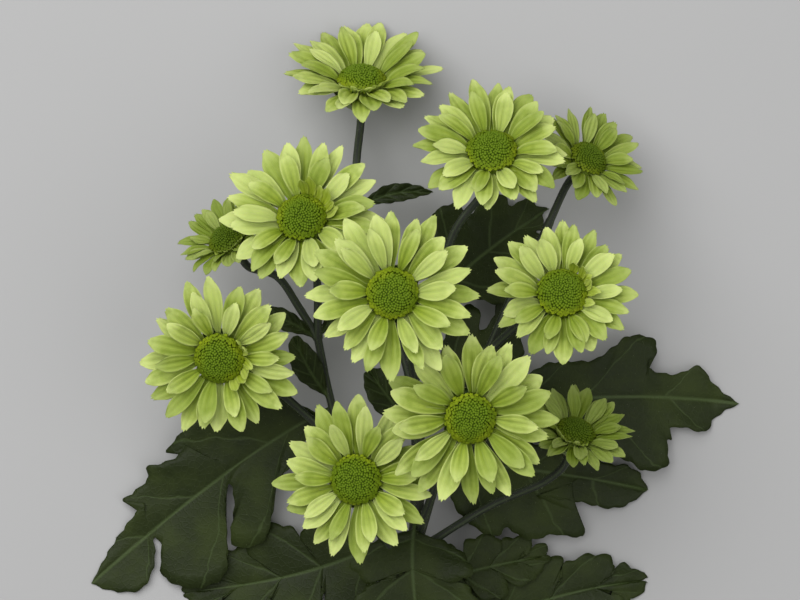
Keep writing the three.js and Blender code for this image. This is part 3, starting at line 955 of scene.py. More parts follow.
@dataclass
class Rays:
    """The ray petals of a bloom and the receptacle that they grow from.

    Each petal has two grooves along it, edges that stand up near its root, and a tip with two small notches.
    """

    bloom: Bloom
    rows: int = 19
    columns: int = 12
    thickness: float = 0.4
    groove: float = 0.3
    wave: float = 0.5
    curl: float = 10.0
    channel: float = 0.55
    tip_half: float = 0.4
    tip_round: float = 0.055
    notch: float = 0.045
    widest: float = 0.6
    rise_stray: float = 4.5
    droop_stray: float = 6.0
    reach_stray: float = 0.07
    width_stray: float = 0.15
    roll_stray: float = 10.0
    turn_stray: float = 4.5
    sway: float = 2.1
    point_stray: float = 0.25
    young_step: float = 0.3
    young_stray: float = 0.1
    root_half: float = 0.22
    swell: float = 1.3
    blunt: float = 2.8
    crowd: float = 1.3
    tip_from: float = 0.45
    curl_from: float = 0.66
    waves: float = 1.2
    edge_thins: float = 0.6
    tip_thins: float = 0.5
    hub_sides: int = 32

    HUB = ((7.0, -3.0), (8.8, -1.2), (9.0, 0.4), (8.2, 1.8), (7.0, 2.4))

    def outline(self, t: float) -> float:
        """Gives a petal's half width at t, from root (0) to tip (1), as a share of the widest."""
        if t < self.widest:
            rise = math.sin(math.pi / 2.0 * (t / self.widest)) ** self.swell
            return self.root_half + (1.0 - self.root_half) * rise
        past = (t - self.widest) / (1.0 - self.widest)
        return self.tip_half + (1.0 - self.tip_half) * (1.0 - past**self.blunt)

    def petal(self, draft: Draft, ring: Ring, index: int, turn: float) -> None:
        """Adds one petal.

        Args:
            draft: What it is added to.
            ring: The ring that it grows in.
            index: Its number in the bloom.
            turn: Its turn round the bloom's axis.
        """
        bloom = self.bloom

        def pick(k: int) -> float:
            """Reads the petal's own scatter."""
            return scatter(bloom.number * 7 + k, index)

        bend = bloom.bend * (0.5 - 0.5 * math.cos(turn - math.radians(bloom.heading)))
        rise = math.radians(ring.rise + ring.cupped * bloom.cup + self.rise_stray * pick(1))
        droop = math.radians(ring.droop + bend + self.droop_stray * pick(2))
        start = ROOT_RADIUS * bloom.scale
        reach = bloom.radius * ring.reach * (1.0 + self.reach_stray * pick(3))
        length = reach * (1.0 - BEND_SHORTENS * bend) - start
        half = bloom.radius * ring.width * (1.0 + self.width_stray * pick(4)) / 2.0
        roll, sway = math.radians(self.roll_stray * pick(5)), self.sway * pick(6)
        notch = self.notch * (0.6 + 0.5 * pick(10))
        point_at = self.point_stray * pick(11)
        spun = Quaternion(UP, turn)
        over_rows: list[list[int]] = []
        under_rows: list[list[int]] = []
        for i in range(self.rows + 1):
            along_share = 1.0 - (1.0 - i / self.rows) ** self.crowd
            rows: tuple[list[int], list[int]] = ([], [])
            width = half * self.outline(along_share)
            for j in range(self.columns + 1):
                s = 2.0 * j / self.columns - 1.0
                thirds = math.cos(3.0 * math.pi * s)
                teeth = self.tip_round * abs(s - point_at) ** 1.7 + notch * (0.5 - 0.5 * thirds)
                t = along_share * (1.0 - teeth * smooth(self.tip_from, 1.0, along_share))
                slope = rise - droop * t
                centre = Vector(
                    (
                        start + length * (math.sin(rise) - math.sin(slope)) / droop,
                        sway * t * t,
                        ring.root * bloom.scale + length * (math.cos(slope) - math.cos(rise)) / droop,
                    )
                )
                lifted = Vector((-math.sin(slope), 0.0, math.cos(slope)))
                angle = roll * (0.6 + 0.6 * t)
                across = Vector((0.0, math.cos(angle), 0.0)) + lifted * math.sin(angle)
                over = lifted * math.cos(angle) - Vector((0.0, math.sin(angle), 0.0))
                lift = ring.fold * (1.0 - 0.6 * t) * min(1.0, 3.0 * t) * width * abs(s) ** 1.6
                lift += self.channel * smooth(0.5, 0.05, t) * width * s * s
                grooved = math.sin(math.pi * min(1.0, 1.1 * t)) ** 0.7 * thirds
                lift -= self.groove * grooved * (1.0 - 0.6 * s * s)
                waved = math.sin(2.0 * math.pi * (self.waves * t + pick(7)) + (2.2 if s > 0 else 0.0))
                lift += self.wave * s * s * t * waved
                lift += self.curl * max(0.0, t - self.curl_from) ** 2 * pick(8)
                middle = centre + across * (width * s) + over * lift
                thinned = (1.0 - self.edge_thins * s * s) * (1.0 - self.tip_thins * t)
                half_thick = 0.5 * self.thickness * thinned
                for side, row in ((1.0, rows[0]), (-1.0, rows[1])):
                    point = spun @ (middle + over * (side * half_thick))
                    level = (bloom.turn @ point).z + bloom.at[2]
                    if level < 0.0:
                        point -= bloom.turn.inverted() @ (UP * level)
                    # the third value is the bloom's painted shade
                    detail = (0.5 + 0.5 * side, ring.young, bloom.shade)
                    row.append(draft.add(point, (t, s, pick(9)), detail))
            over_rows.append(rows[0][::-1])
            under_rows.append(rows[1][::-1])
        draft.sheet(over_rows, under_rows)

    def hub(self, draft: Draft) -> None:
        """Adds the receptacle."""
        draft.lathe(self.HUB, self.hub_sides, self.bloom.scale, detail=(1.0, 0.0, 0.0))

    def build(self, material: bpy.types.Material) -> bpy.types.Object:
        """Makes the piece.

        Args:
            material: Its finish.

        Returns:
            The piece.
        """
        bloom, draft = self.bloom, Draft()
        self.hub(draft)
        for number, ring in enumerate(RINGS):
            count = ring.count - (SMALL_FEWER if bloom.small else 0)
            for i in range(count):
                index = number * RING_FROM + i
                turn = 2.0 * math.pi * (i + 0.5 * number) / count
                turn += math.radians(self.turn_stray * scatter(bloom.number, index))
                self.petal(draft, ring, index, turn)
        if bloom.young_at is not None:
            for i in range(YOUNG.count):
                index = YOUNG_FROM + i
                step = (i - 0.5 * (YOUNG.count - 1)) * self.young_step
                step += self.young_stray * scatter(bloom.number, index)
                self.petal(draft, YOUNG, index, math.radians(bloom.young_at) + step)
        mesh = draft.mesh(bloom.name + "_petals", bloom.place)
        mesh.materials.append(material)
        return declare(stand(mesh), Slot.PETAL, bloom.name + "_rays")


@dataclass
class Disc:
    """The domed disc of tube florets."""

    bloom: Bloom
    count: int = 310
    size: float = 0.6
    stray: float = 0.17
    opened: float = 0.8
    sunk: float = 0.3
    foot: float = 0.05
    rim: float = 0.25
    small_share: float = 0.8
    sides: int = 40

    SHARES = (1.0, 0.95, 0.85, 0.7, 0.5, 0.3, 0.12)
    FOOT_SHARE = 0.92

    @staticmethod
    def bud() -> bpy.types.Object:
        """Makes the closed floret, one unit wide on each side of its axis."""
        draft, sides, top = Draft(), 6, 1.4
        rings = []
        for radius, height in ((0.7, -1.4), (0.95, 0.1), (1.0, 0.7), (0.66, 1.25), (0.22, 1.42)):
            rings.append(draft.ring([radius] * sides, height, (max(0.0, height / top), 0.0, 0.0)))
        draft.tube(rings)
        return stand(draft.mesh("bud", Matrix.Identity(4)))

    @staticmethod
    def floret() -> bpy.types.Object:
        """Makes the open floret, with its five points spread."""
        draft, points = Draft(), 5
        rings = []
        profile = (
            (0.5, 0.5, -1.4, 0.0), (0.66, 0.66, 0.9, 0.6), (1.5, 0.75, 1.75, 1.0), (0.8, 0.42, 1.6, 0.9),
        )
        for wide, narrow, height, rise in profile:
            rings.append(draft.ring([wide, narrow] * points, height, (rise, 0.0, 0.0)))
        draft.tube(rings)
        return stand(draft.mesh("floret", Matrix.Identity(4)))

    def dome(self) -> bpy.types.Mesh:
        """Makes the receptacle's dome under the florets, in the bloom's own frame."""
        draft, base = Draft(), DISC_BASE - self.sunk
        profile = [(DISC_RADIUS * self.FOOT_SHARE, base - self.foot)]
        for share in self.SHARES:
            profile.append((DISC_RADIUS * share, base + DISC_HEIGHT * (1.0 - share**DISC_POWER)))
        draft.lathe(profile, self.sides, self.bloom.scale)
        return draft.mesh("dome", Matrix.Identity(4))

    def build(
        self, tree: Sprouts, bud: bpy.types.Object, floret: bpy.types.Object, material: bpy.types.Material
    ) -> bpy.types.Object:
        """Makes the piece.

        Args:
            tree: The tree that stands the florets on the dome.
            bud: A closed floret.
            floret: An open floret.
            material: The finish.

        Returns:
            The piece.
        """
        scale = self.bloom.scale
        dome = stand(self.dome())
        values = {
            "Count": round(self.count * (self.small_share if self.bloom.small else 1.0)),
            "Radius": (DISC_RADIUS - self.rim) * scale * MM,
            "Height": DISC_HEIGHT * scale * MM,
            "Base": (DISC_BASE - self.sunk - self.foot) * scale * MM,
            "Size": self.size * scale,
            "Stray": self.stray * scale * MM,
            "Open From": self.opened,
            # the bloom's painted shade
            "Dark": self.bloom.shade,
            "Bud": bud,
            "Floret": floret,
            "Seed": self.bloom.number,
            "Material": material,
        }
        mesh = tree.grow(dome, self.bloom.name + "_florets", values)
        bpy.data.objects.remove(dome)
        mesh.transform(self.bloom.place)
        return declare(stand(mesh), Slot.DISC, self.bloom.name + "_disc")


@dataclass
class Calyx:
    """The cup of overlapping bracts behind the petals."""

    bloom: Bloom
    across: int = 4
    along: int = 7
    sides: int = 32
    half_thick: float = 0.11
    turn_stray: float = 0.08
    reach_stray: float = 0.04

    CUP = ((2.3, -CALYX_DEPTH), (6.2, -7.0), (9.0, -4.0), (10.1, -2.4), (7.4, -3.2))
    PROFILE = ((2.4, -10.0), (6.4, -7.0), (9.2, -4.0), (10.3, -2.2), (10.9, -0.9))
    ROWS = ((0.0, 0.44, 9, 3.0), (0.17, 0.62, 12, 3.4), (0.38, 0.84, 14, 3.8), (0.56, 1.0, 16, 3.9))

    def skin(self, share: float) -> tuple[Vector, Vector]:
        """Reads the cup's side.

        Args:
            share: How far up it is read, 0 at the seat and 1 at the rim.

        Returns:
            The point there, with its radius as x and its height as z, and the way out of the cup.
        """
        spans = [math.dist(a, b) for a, b in zip(self.PROFILE, self.PROFILE[1:])]
        left = share * sum(spans)
        for (a, b), span in zip(zip(self.PROFILE, self.PROFILE[1:]), spans):
            if left <= span or b == self.PROFILE[-1]:
                step = left / span
                break
            left -= span
        flat = Vector((b[0] - a[0], 0.0, b[1] - a[1]))
        point = Vector((a[0], 0.0, a[1])) + flat * step
        return point, Vector((flat.z, 0.0, -flat.x)).normalized()

    def bract(self, draft: Draft, row: int, number: int) -> None:
        """Adds one bract.

        Args:
            draft: What it is added to.
            row: Its row, from the peduncle.
            number: Its number in the row.
        """
        low, high, count, wide = self.ROWS[row]
        chance = scatter(self.bloom.number * 11 + row, number)
        turn = 2.0 * math.pi * (number + 0.5 * row + self.turn_stray * chance) / count
        spun = Quaternion(UP, turn)
        over: list[list[int]] = []
        under: list[list[int]] = []
        for i in range(self.along + 1):
            t = i / self.along
            middle, out = self.skin(low + (high - low) * t * (1.0 + self.reach_stray * chance))
            half = 0.5 * wide * (0.75 + 0.5 * t) * (1.0 - t**3.0) ** 0.6
            rows: tuple[list[int], list[int]] = ([], [])
            last = i == self.along
            for j in range(1 if last else self.across + 1):
                s = 0.0 if last else 2.0 * j / self.across - 1.0
                bend = 0.07 * (3 - row) + 0.12 + 0.25 * t * t - 0.14 * s * s
                wide_at = half * s
                side = Vector((-wide_at * wide_at / (2.0 * middle.x), wide_at, 0.0))
                for lift, target in ((self.half_thick, rows[0]), (-self.half_thick, rows[1])):
                    point = spun @ ((middle + side + out * (bend + lift)) * self.bloom.scale)
                    target.append(draft.add(point, (t, s, chance)))
            over.append(rows[0])
            under.append(rows[1])
        draft.sheet(over, under)

    def build(self, material: bpy.types.Material) -> bpy.types.Object:
        """Makes the piece.

        Args:
            material: Its finish.

        Returns:
            The piece.
        """
        draft = Draft()
        draft.lathe(self.CUP, self.sides, self.bloom.scale, (0.3, 0.3, 0.0))
        for row, (_, _, count, _) in enumerate(self.ROWS):
            for number in range(count):
                self.bract(draft, row, number)
        mesh = draft.mesh(self.bloom.name + "_bracts", self.bloom.place)
        mesh.materials.append(material)
        return declare(stand(mesh), Slot.CALYX, self.bloom.name + "_calyx")


@dataclass(frozen=True)
class Route:
    """The centre line of a stem, branch or peduncle, and its radius at both ends."""

    points: tuple[Point, ...]
    radius: float
    tip_radius: float
    ribs: int
    age: float = 0.0
    steps: int = 9

    def line(self) -> list[Vector]:
        """Reads the smooth centre line through the points.

        Returns:
            Points at even steps of each stretch.
        """
        knots = [Vector(point) for point in self.points]
        ends = [2.0 * knots[0] - knots[1], *knots, 2.0 * knots[-1] - knots[-2]]
        line = []
        for k in range(1, len(ends) - 2):
            a, b, c, d = ends[k - 1 : k + 3]
            before, here, after = [math.sqrt((q - p).length) for p, q in ((a, b), (b, c), (c, d))]
            leave = ((b - a) / before - (c - a) / (before + here) + (c - b) / here) * here
            reach = ((c - b) / here - (d - b) / (here + after) + (d - c) / after) * here
            for i in range(self.steps):
                t = i / self.steps
                bend = t * t * (3.0 * (c - b) - 2.0 * leave - reach) + t**3 * (2.0 * (b - c) + leave + reach)
                line.append(b + leave * t + bend)
        return [*line, knots[-1]]


@dataclass
class Stem:
    """The stem with its two branches and its eleven peduncles."""

    blooms: tuple[Bloom, ...]
    sides: int = 24
    rib_depth: float = 0.07
    radius_stray: float = 0.03
    flare: float = 0.35
    foot: float = 0.25
    seat_run: float = 7.0

    MAIN = (
        (12, -262, 2.77), (10, -215, 5.5), (7, -160, 10), (5.5, -107, 15), (6.6, -80, 18.5), (7, -55, 22),
        (5, -32, 24),
    )
    LEFT = ((5.4, -114, 14.3), (-10.9, -85.5, 18), (-21.4, -58.3, 20), (-27.6, -36.2, 24), (-31.9, -14.4, 28))
    RIGHT = ((6.2, -98, 16), (21.4, -48, 21), (34, -20, 22), (47, 9, 22), (57.2, 28, 21.5))
    PEDUNCLES = {
        "bloom_01": ((5, -34, 23.9), (-5.8, 3.9, 21), (-16.7, 33, 16), (-17.1, 52.5, 12.5)),
        "bloom_02": ((5, -34, 23.9), (14, 0, 27), (21.4, 27, 31)),
        "bloom_03": ((57.1, 27.8, 21.5),),
        "bloom_04": ((-31.8, -14.8, 27.9), (-32, 8, 34)),
        "bloom_05": ((-31.8, -14.8, 27.9), (-38.9, -3.1, 29), (-47.8, 9.3, 29.5)),
        "bloom_06": ((7, -55, 22), (4, -22, 44)),
        "bloom_07": ((34, -20, 22), (48, -8, 32)),
        "bloom_08": ((-21.4, -58.3, 20), (-44, -38, 24)),
        "bloom_09": ((6.4, -92, 16.8), (16, -66, 36)),
        "bloom_10": ((5.4, -114, 14.3), (-6, -92, 28)),
        "bloom_11": ((6.4, -98, 16), (35, -80, 21), (56.4, -70, 28)),
    }

    def routes(self) -> Iterator[Route]:
        """Gives the centre lines, from the main stem to the peduncles."""
        yield Route(self.MAIN, 3.0, 2.7, 7, age=1.0)
        yield Route(self.LEFT, 1.7, 1.6, 6, age=0.4)
        yield Route(self.RIGHT, 1.7, 1.6, 6, age=0.4)
        for bloom in self.blooms:
            look = bloom.turn @ UP
            seat = Vector(bloom.at) - look * (CALYX_DEPTH * bloom.scale + SEAT_GAP)
            points = (*self.PEDUNCLES[bloom.name], tuple(seat - look * self.seat_run), tuple(seat))
            yield Route(points, 1.6, 1.6, 5)

    def add(self, draft: Draft, route: Route, number: int) -> None:
        """Adds one ribbed tube.

        Args:
            draft: What it is added to.
            route: Its centre line.
            number: Its number.
        """
        line = route.line()
        aim = (line[1] - line[0]).normalized()
        side = aim.orthogonal().normalized()
        rings = []
        walked = 0.0
        for k, here in enumerate(line):
            ahead = line[min(k + 1, len(line) - 1)] - line[max(k - 1, 0)]
            turn = aim.rotation_difference(ahead.normalized())
            side = (turn @ side).normalized()
            aim = ahead.normalized()
            other = aim.cross(side)
            if k:
                walked += (here - line[k - 1]).length
            share = k / (len(line) - 1)
            radius = route.radius + (route.tip_radius - route.radius) * share
            radius *= 1.0 + self.radius_stray * scatter(number, k)
            if not route.age:
                radius *= 1.0 + self.flare * smooth(0.9, 1.0, share) + self.foot * smooth(0.12, 0.0, share)
            ring = []
            for j in range(self.sides):
                angle = 2.0 * math.pi * j / self.sides
                crest = 0.5 + 0.5 * math.cos(route.ribs * angle + 0.01 * walked)
                out = (side * math.cos(angle) + other * math.sin(angle)) * radius
                point = here + out * (1.0 - self.rib_depth * (1.0 - crest))
                point.z = max(point.z, 0.0)
                ring.append(draft.add(point, (walked * 0.03, crest, route.age * (1.0 - share))))
            rings.append(ring)
        draft.tube(rings, closed=False)
        for ring, here, outward in ((rings[0], line[0], False), (rings[-1], line[-1], True)):
            inner = draft.add(here, ZERO, (1.0, 0.0, 0.0))
            rim = [draft.add(draft.points[p].copy(), ZERO, (1.0, 1.0, 0.0)) for p in ring]
            for j in range(self.sides):
                k = (j + 1) % self.sides
                draft.faces.append((inner, rim[j], rim[k]) if outward else (inner, rim[k], rim[j]))

    def build(self, material: bpy.types.Material) -> bpy.types.Object:
        """Makes the piece.

        Args:
            material: Its finish.

        Returns:
            The piece.
        """
        draft = Draft()
        for number, route in enumerate(self.routes()):
            self.add(draft, route, number)
        mesh = draft.mesh("stem_ribbed")
        mesh.materials.append(material)
        return declare(stand(mesh), Slot.STEM, "stem")


@dataclass(frozen=True)
class Outline:
    """The edges of a blade.

    stalk is the share of the midrib that is bare. The points of the left and of the right edge stand at even
    steps of the rest. The veins end at these steps.
    """

    stalk: float
    left: tuple[Flat, ...]
    right: tuple[Flat, ...]
    left_veins: tuple[float, ...]
    right_veins: tuple[float, ...]


OUTLINES = {
    "leaf_01": Outline(
        stalk=0.1,
        left=(
            (-31, -49), (-37, -55), (-42, -64), (-49, -73), (-50, -83), (-54, -95), (-66, -96),
            (-65, -79), (-67, -72), (-69, -78), (-68, -97), (-69, -108), (-77, -113), (-86, -113),
            (-94, -108), (-94, -97), (-97, -94), (-97, -104), (-102, -114), (-113, -115),
        ),
        right=(
            (-32, -44), (-38, -41), (-45, -38), (-53, -37), (-62, -39), (-70, -41), (-78, -44),
            (-85, -51), (-92, -60), (-85, -57), (-87, -61), (-93, -64), (-100, -66), (-99, -70),
            (-104, -75), (-109, -79), (-101, -80), (-105, -85), (-111, -93), (-116, -101),
        ),
        left_veins=(2.4, 5.4, 12.0, 17.6),
        right_veins=(2.8, 7.6, 14.6, 18.4),
    ),
    "leaf_04": Outline(
        stalk=0.2,
        left=(
            (44, -36), (49, -30), (57, -25), (65, -24), (71, -24), (77, -23), (84, -18),
            (90, -14), (99, -15), (101, -20), (98, -24), (98, -27), (104, -29), (110, -29),
            (118, -26), (122, -31), (127, -36),
        ),
        right=(
            (44, -41), (49, -47), (58, -55), (65, -60), (71, -62), (78, -61), (84, -61),
            (91, -64), (96, -67), (105, -65), (105, -56), (107, -55), (106, -51), (111, -50),
            (120, -52), (124, -47), (128, -44),
        ),
        left_veins=(3.0, 7.6, 13.6),
        right_veins=(3.2, 8.6, 14.0),
    ),
    "leaf_05": Outline(
        stalk=0.12,
        left=(
            (22, -54), (27, -51), (35, -49), (43, -49), (49, -51), (52, -56), (55, -57),
            (60, -55), (67, -54), (74, -56), (78, -61), (80, -64), (85, -65), (89, -65),
            (94, -68), (96, -71),
        ),
        right=(
            (19, -67), (20, -77), (23, -83), (31, -90), (38, -92), (42, -89), (46, -92),
            (52, -94), (60, -92), (72, -93), (69, -85), (54, -77), (62, -78), (73, -80),
            (81, -82), (89, -81),
        ),
        left_veins=(2.6, 8.2, 13.4),
        right_veins=(3.6, 8.4, 13.6),
    ),
    "leaf_06": Outline(
        stalk=0.12,
        left=(
            (20, 6), (18, 15), (14, 24), (13, 29), (13, 34), (18, 37), (23, 38),
            (27, 33), (31, 38), (36, 42), (41, 41), (44, 37), (49, 40), (52, 39),
            (55, 37),
        ),
        right=(
            (26, 1), (32, 0), (39, -2), (45, 0), (49, 5), (45, 11), (41, 15),
            (47, 14), (55, 15), (61, 20), (59, 24), (54, 27), (57, 28), (57, 31),
            (56, 34),
        ),
        left_veins=(4.6, 9.2, 12.6),
        right_veins=(3.6, 8.8, 12.8),
    ),
    "leaf_07": Outline(
        stalk=0.14,
        left=(
            (15, -24), (17, -16), (20, -7), (26, -2), (31, -4), (31, -12), (36, -8),
            (39, 1), (44, 0), (47, -4), (51, -3),
        ),
        right=(
            (18, -33), (24, -36), (31, -36), (36, -32), (35, -26), (34, -23), (41, -26),
            (46, -23), (49, -20), (47, -15), (51, -12),
        ),
        left_veins=(3.0, 7.4),
        right_veins=(2.8, 7.0),
    ),
}

PETIOLE_SHARE = 0.13
LOBE_ENDS = (0.0, 0.3, 0.55, 0.78, 1.0)
LOBE_REACH = (0.82, 1.0, 0.88)
LOBE_ANGLE = (82, 60, 43)
LOBE_FAN = 15
SINUS_REACH = 0.4
TERMINAL_REACH = 0.74
TERMINAL_ANGLE = 40
LOBED_STATIONS = (
    0.02, 0.07, 0.16, 0.24, 0.28, 0.3, 0.32, 0.37, 0.43, 0.49, 0.53,
    0.55, 0.57, 0.62, 0.68, 0.73, 0.76, 0.78, 0.8, 0.85, 0.91, 0.96,
)
PLAIN_STATIONS = (0.06, 0.25, 0.45, 0.65, 0.84)


@dataclass(frozen=True)
class Station:
    """A place along a blade: its share of the midrib, and where its two edges stand."""

    t: float
    left: Flat
    right: Flat


@dataclass
class Leaf:
    """A lobed leaf, or a plain small upper leaf, on its stalk.

    midrib is its place on the stem, the point that it bends towards and its tip.
    """

    name: str
    midrib: tuple[Point, Point, Point]
    width: float
    fold: float
    seed: int
    columns: int = 10
    between: int = 7
    stalk_half: float = 1.1
    thickness: float = 0.34
    quilt: float = 0.75
    ruffle: float = 0.9
    slant: float = 0.1
    edge_stray: float = 0.07
    steep: float = 0.65

    @property
    def plain(self) -> bool:
        """Whether it is a small upper leaf with no lobes."""
        return self.name.startswith("bract")

    @property
    def outline(self) -> Outline | None:
        """The leaf's own outline, if it has one."""
        return OUTLINES.get(self.name)

    @property
    def stalk(self) -> float:
        """The share of the midrib that is bare."""
        return self.outline.stalk if self.outline else PETIOLE_SHARE

    @property
    def teeth(self) -> Flat:
        """The pitch and the depth of the teeth of its edge, mm."""
        if self.plain:
            return 5.0, 0.5
        return (6.5, 0.9) if self.outline else (9.0, 2.0)

    def centre(self, t: float) -> Vector:
        """Reads the midrib at t."""
        a, b, c = (Vector(point) for point in self.midrib)
        return a * (1.0 - t) ** 2 + b * (2.0 * t * (1.0 - t)) + c * t * t

    def tangent(self, t: float) -> Vector:
        """Reads the midrib's direction at t."""
        a, b, c = (Vector(point) for point in self.midrib)
        return ((b - a) * (1.0 - t) + (c - b) * t).normalized()

    def along(self, t: float) -> Vector:
        """Reads the midrib's level direction at t."""
        tangent = self.tangent(t)
        return Vector((tangent.x, tangent.y, 0.0)).normalized()

    @staticmethod
    def plain_edge(u: float) -> Flat:
        """Reads a plain blade: its reach and its angle, as for a lobed one."""
        return math.sin(math.pi * u**0.8) ** 0.75, 70.0 - 45.0 * u

    @staticmethod
    def lobed_edge(u: float) -> Flat:
        """Reads a lobed blade.

        Args:
            u: Where along the blade, 0 to 1.

        Returns:
            How far it reaches from the midrib, as a share of its half width, and the angle, degrees.
        """
        lobe = next((k for k in range(4) if u <= LOBE_ENDS[k + 1] + 1e-9), 3)
        v = 2.0 * (u - LOBE_ENDS[lobe]) / (LOBE_ENDS[lobe + 1] - LOBE_ENDS[lobe]) - 1.0
        if lobe == 3:
            q = (v + 1.0) / 2.0
            return min(TERMINAL_REACH * math.sqrt(1.0 - q), SINUS_REACH + 2.2 * q), TERMINAL_ANGLE * (1.0 - q)
        rounded = math.sqrt(max(0.0, 1.0 - abs(v) ** 2.6))
        reach = LOBE_REACH[lobe] * (SINUS_REACH + (1.0 - SINUS_REACH) * rounded)
        narrowed = 0.35 + 0.65 * (v + 1.0) if lobe == 0 and v < 0 else 1.0
        return reach * narrowed, LOBE_ANGLE[lobe] - LOBE_FAN * v

    def ruled(self, u: float, t: float, sign: int) -> Flat:
        """Reads the edge of a leaf that has no outline of its own.

        Args:
            u: Where along the blade.
            t: Where along the midrib.
            sign: 1 for the left edge, -1 for the right edge.

        Returns:
            The edge's place.
        """
        reach, angle = self.plain_edge(u) if self.plain else self.lobed_edge(u)
        chance = scatter(self.seed + sign, math.floor(u * 100 + 0.5))
        length = reach * self.width / 2.0 * (1.0 + self.edge_stray * chance)
        along, centre = self.along(t), self.centre(t)
        turn = math.atan2(along.y, along.x) + sign * math.radians(angle)
        return centre.x + math.cos(turn) * length, centre.y + math.sin(turn) * length

    def stations(self) -> list[Station]:
        """Lists the stations that shape the leaf, from its base to its tip."""
        found = []
        for t in (0.0, 0.35 * self.stalk, 0.7 * self.stalk):
            centre, along = self.centre(t), self.along(t)
            half = self.stalk_half * (1.35 if t == 0.0 else 1.0)
            edges = [(centre.x - s * half * along.y, centre.y + s * half * along.x) for s in (1, -1)]
            found.append(Station(t, *edges))
        if self.outline:
            count = len(self.outline.left)
            for i, (left, right) in enumerate(zip(self.outline.left, self.outline.right)):
                found.append(Station(self.stalk + (1.0 - self.stalk) * i / count, left, right))
        else:
            for u in PLAIN_STATIONS if self.plain else LOBED_STATIONS:
                t = self.stalk + (1.0 - self.stalk) * u
                found.append(Station(t, self.ruled(u, t, 1), self.ruled(u, t, -1)))
        tip = self.centre(1.0)
        found.append(Station(1.0, (tip.x, tip.y), (tip.x, tip.y)))
        return found

    def rows(self) -> list[Station]:
        """Lists the finer stations between them, on smooth edges."""
        knots = self.stations()
        found = []
        for k in range(len(knots) - 1):
            around = [knots[min(max(k + step, 0), len(knots) - 1)] for step in (-1, 0, 1, 2)]
            for i in range(self.between):
                share = i / self.between
                edges = []
                for side in ("left", "right"):
                    along, across = zip(*(getattr(knot, side) for knot in around))
                    edges.append((spline(*along, share), spline(*across, share)))
                t = knots[k].t + (knots[k + 1].t - knots[k].t) * share
                found.append(Station(t, *edges))
        return found + [knots[-1]]

    def toothed(self, rows: list[Station]) -> list[Station]:
        """Cuts the fine teeth of the edges.

        Args:
            rows: The stations of the smooth edges.

        Returns:
            The stations of the toothed edges.
        """
        pitch, depth = self.teeth
        edges: dict[str, list[Flat]] = {"left": [], "right": []}
        for side, sign in (("left", 1.0), ("right", -1.0)):
            walked = 0.0
            for k, row in enumerate(rows):
                here = Vector(getattr(row, side))
                before = Vector(getattr(rows[max(k - 1, 0)], side))
                after = Vector(getattr(rows[min(k + 1, len(rows) - 1)], side))
                walked += (here - before).length
                run = after - before
                out = Vector((-run.y, run.x)) * sign
                out = out.normalized() if out.length > 1e-6 else Vector((0.0, 0.0))
                saw = (walked / pitch) % 1.0
                tooth = min(saw / self.steep, (1.0 - saw) / (1.0 - self.steep)) ** 0.8
                strength = smooth(self.stalk, self.stalk + 0.08, row.t) * smooth(1.0, 0.97, row.t)
                moved = here + out * (depth * (tooth - 0.45) * strength)
                edges[side].append((moved.x, moved.y))
        return [Station(row.t, edges["left"][k], edges["right"][k]) for k, row in enumerate(rows)]

    def vein_ends(self, sign: int) -> list[float]:
        """Lists where the side veins of one half end, as shares of the midrib."""
        if self.outline:
            steps = self.outline.left_veins if sign > 0 else self.outline.right_veins
            count = len(self.outline.left)
            return [self.stalk + (1.0 - self.stalk) * step / count for step in steps]
        shares = (0.2, 0.42, 0.64, 0.84) if self.plain else (0.15, 0.42, 0.665, 0.88)
        return [self.stalk + (1.0 - self.stalk) * share for share in shares]

    def phase(self, t: float, s: float) -> Flat:
        """Reads the place between the side veins.

        Args:
            t: Where along the midrib.
            s: Where across, from -1 at the right edge to 1 at the left edge.

        Returns:
            The place, whole on each side vein, and the mm from one vein to the next.
        """
        ends = self.vein_ends(1 if s >= 0 else -1)
        knots = [2.0 * ends[0] - ends[1], *ends, 2.0 * ends[-1] - ends[-2]]
        place = t + self.slant * (1.0 - abs(s)) ** 1.2
        span = sum((Vector(b) - Vector(a)).length for a, b in zip(self.midrib, self.midrib[1:]))
        for k, (low, high) in enumerate(zip(knots, knots[1:])):
            if place <= high or k == len(knots) - 2:
                return k + (place - low) / (high - low), (high - low) * span
        return 0.0, span

    def shape(self, row: Station, s: float, edge: Flat) -> tuple[Vector, float]:
        """Places a point of the blade's middle surface.

        Args:
            row: Its station.
            s: Where across, from -1 at the right edge to 1 at the left edge.
            edge: The edge on that side.

        Returns:
            The point, and its distance from the midrib, mm.
        """
        centre, tangent = self.centre(row.t), self.tangent(row.t)
        along = self.along(row.t)
        reach = Vector((edge[0] - centre.x, edge[1] - centre.y, 0.0))
        beside = abs(reach.dot(Vector((-along.y, along.x, 0.0))))
        edge_z = centre.z + math.tan(math.radians(self.fold)) * beside + tangent.z * reach.dot(along)
        share = abs(s)
        z = max(centre.z, 0.0) * (1.0 - share) + max(edge_z, 0.0) * share
        return Vector((centre.x + reach.x * share, centre.y + reach.y * share, z)), share * reach.length

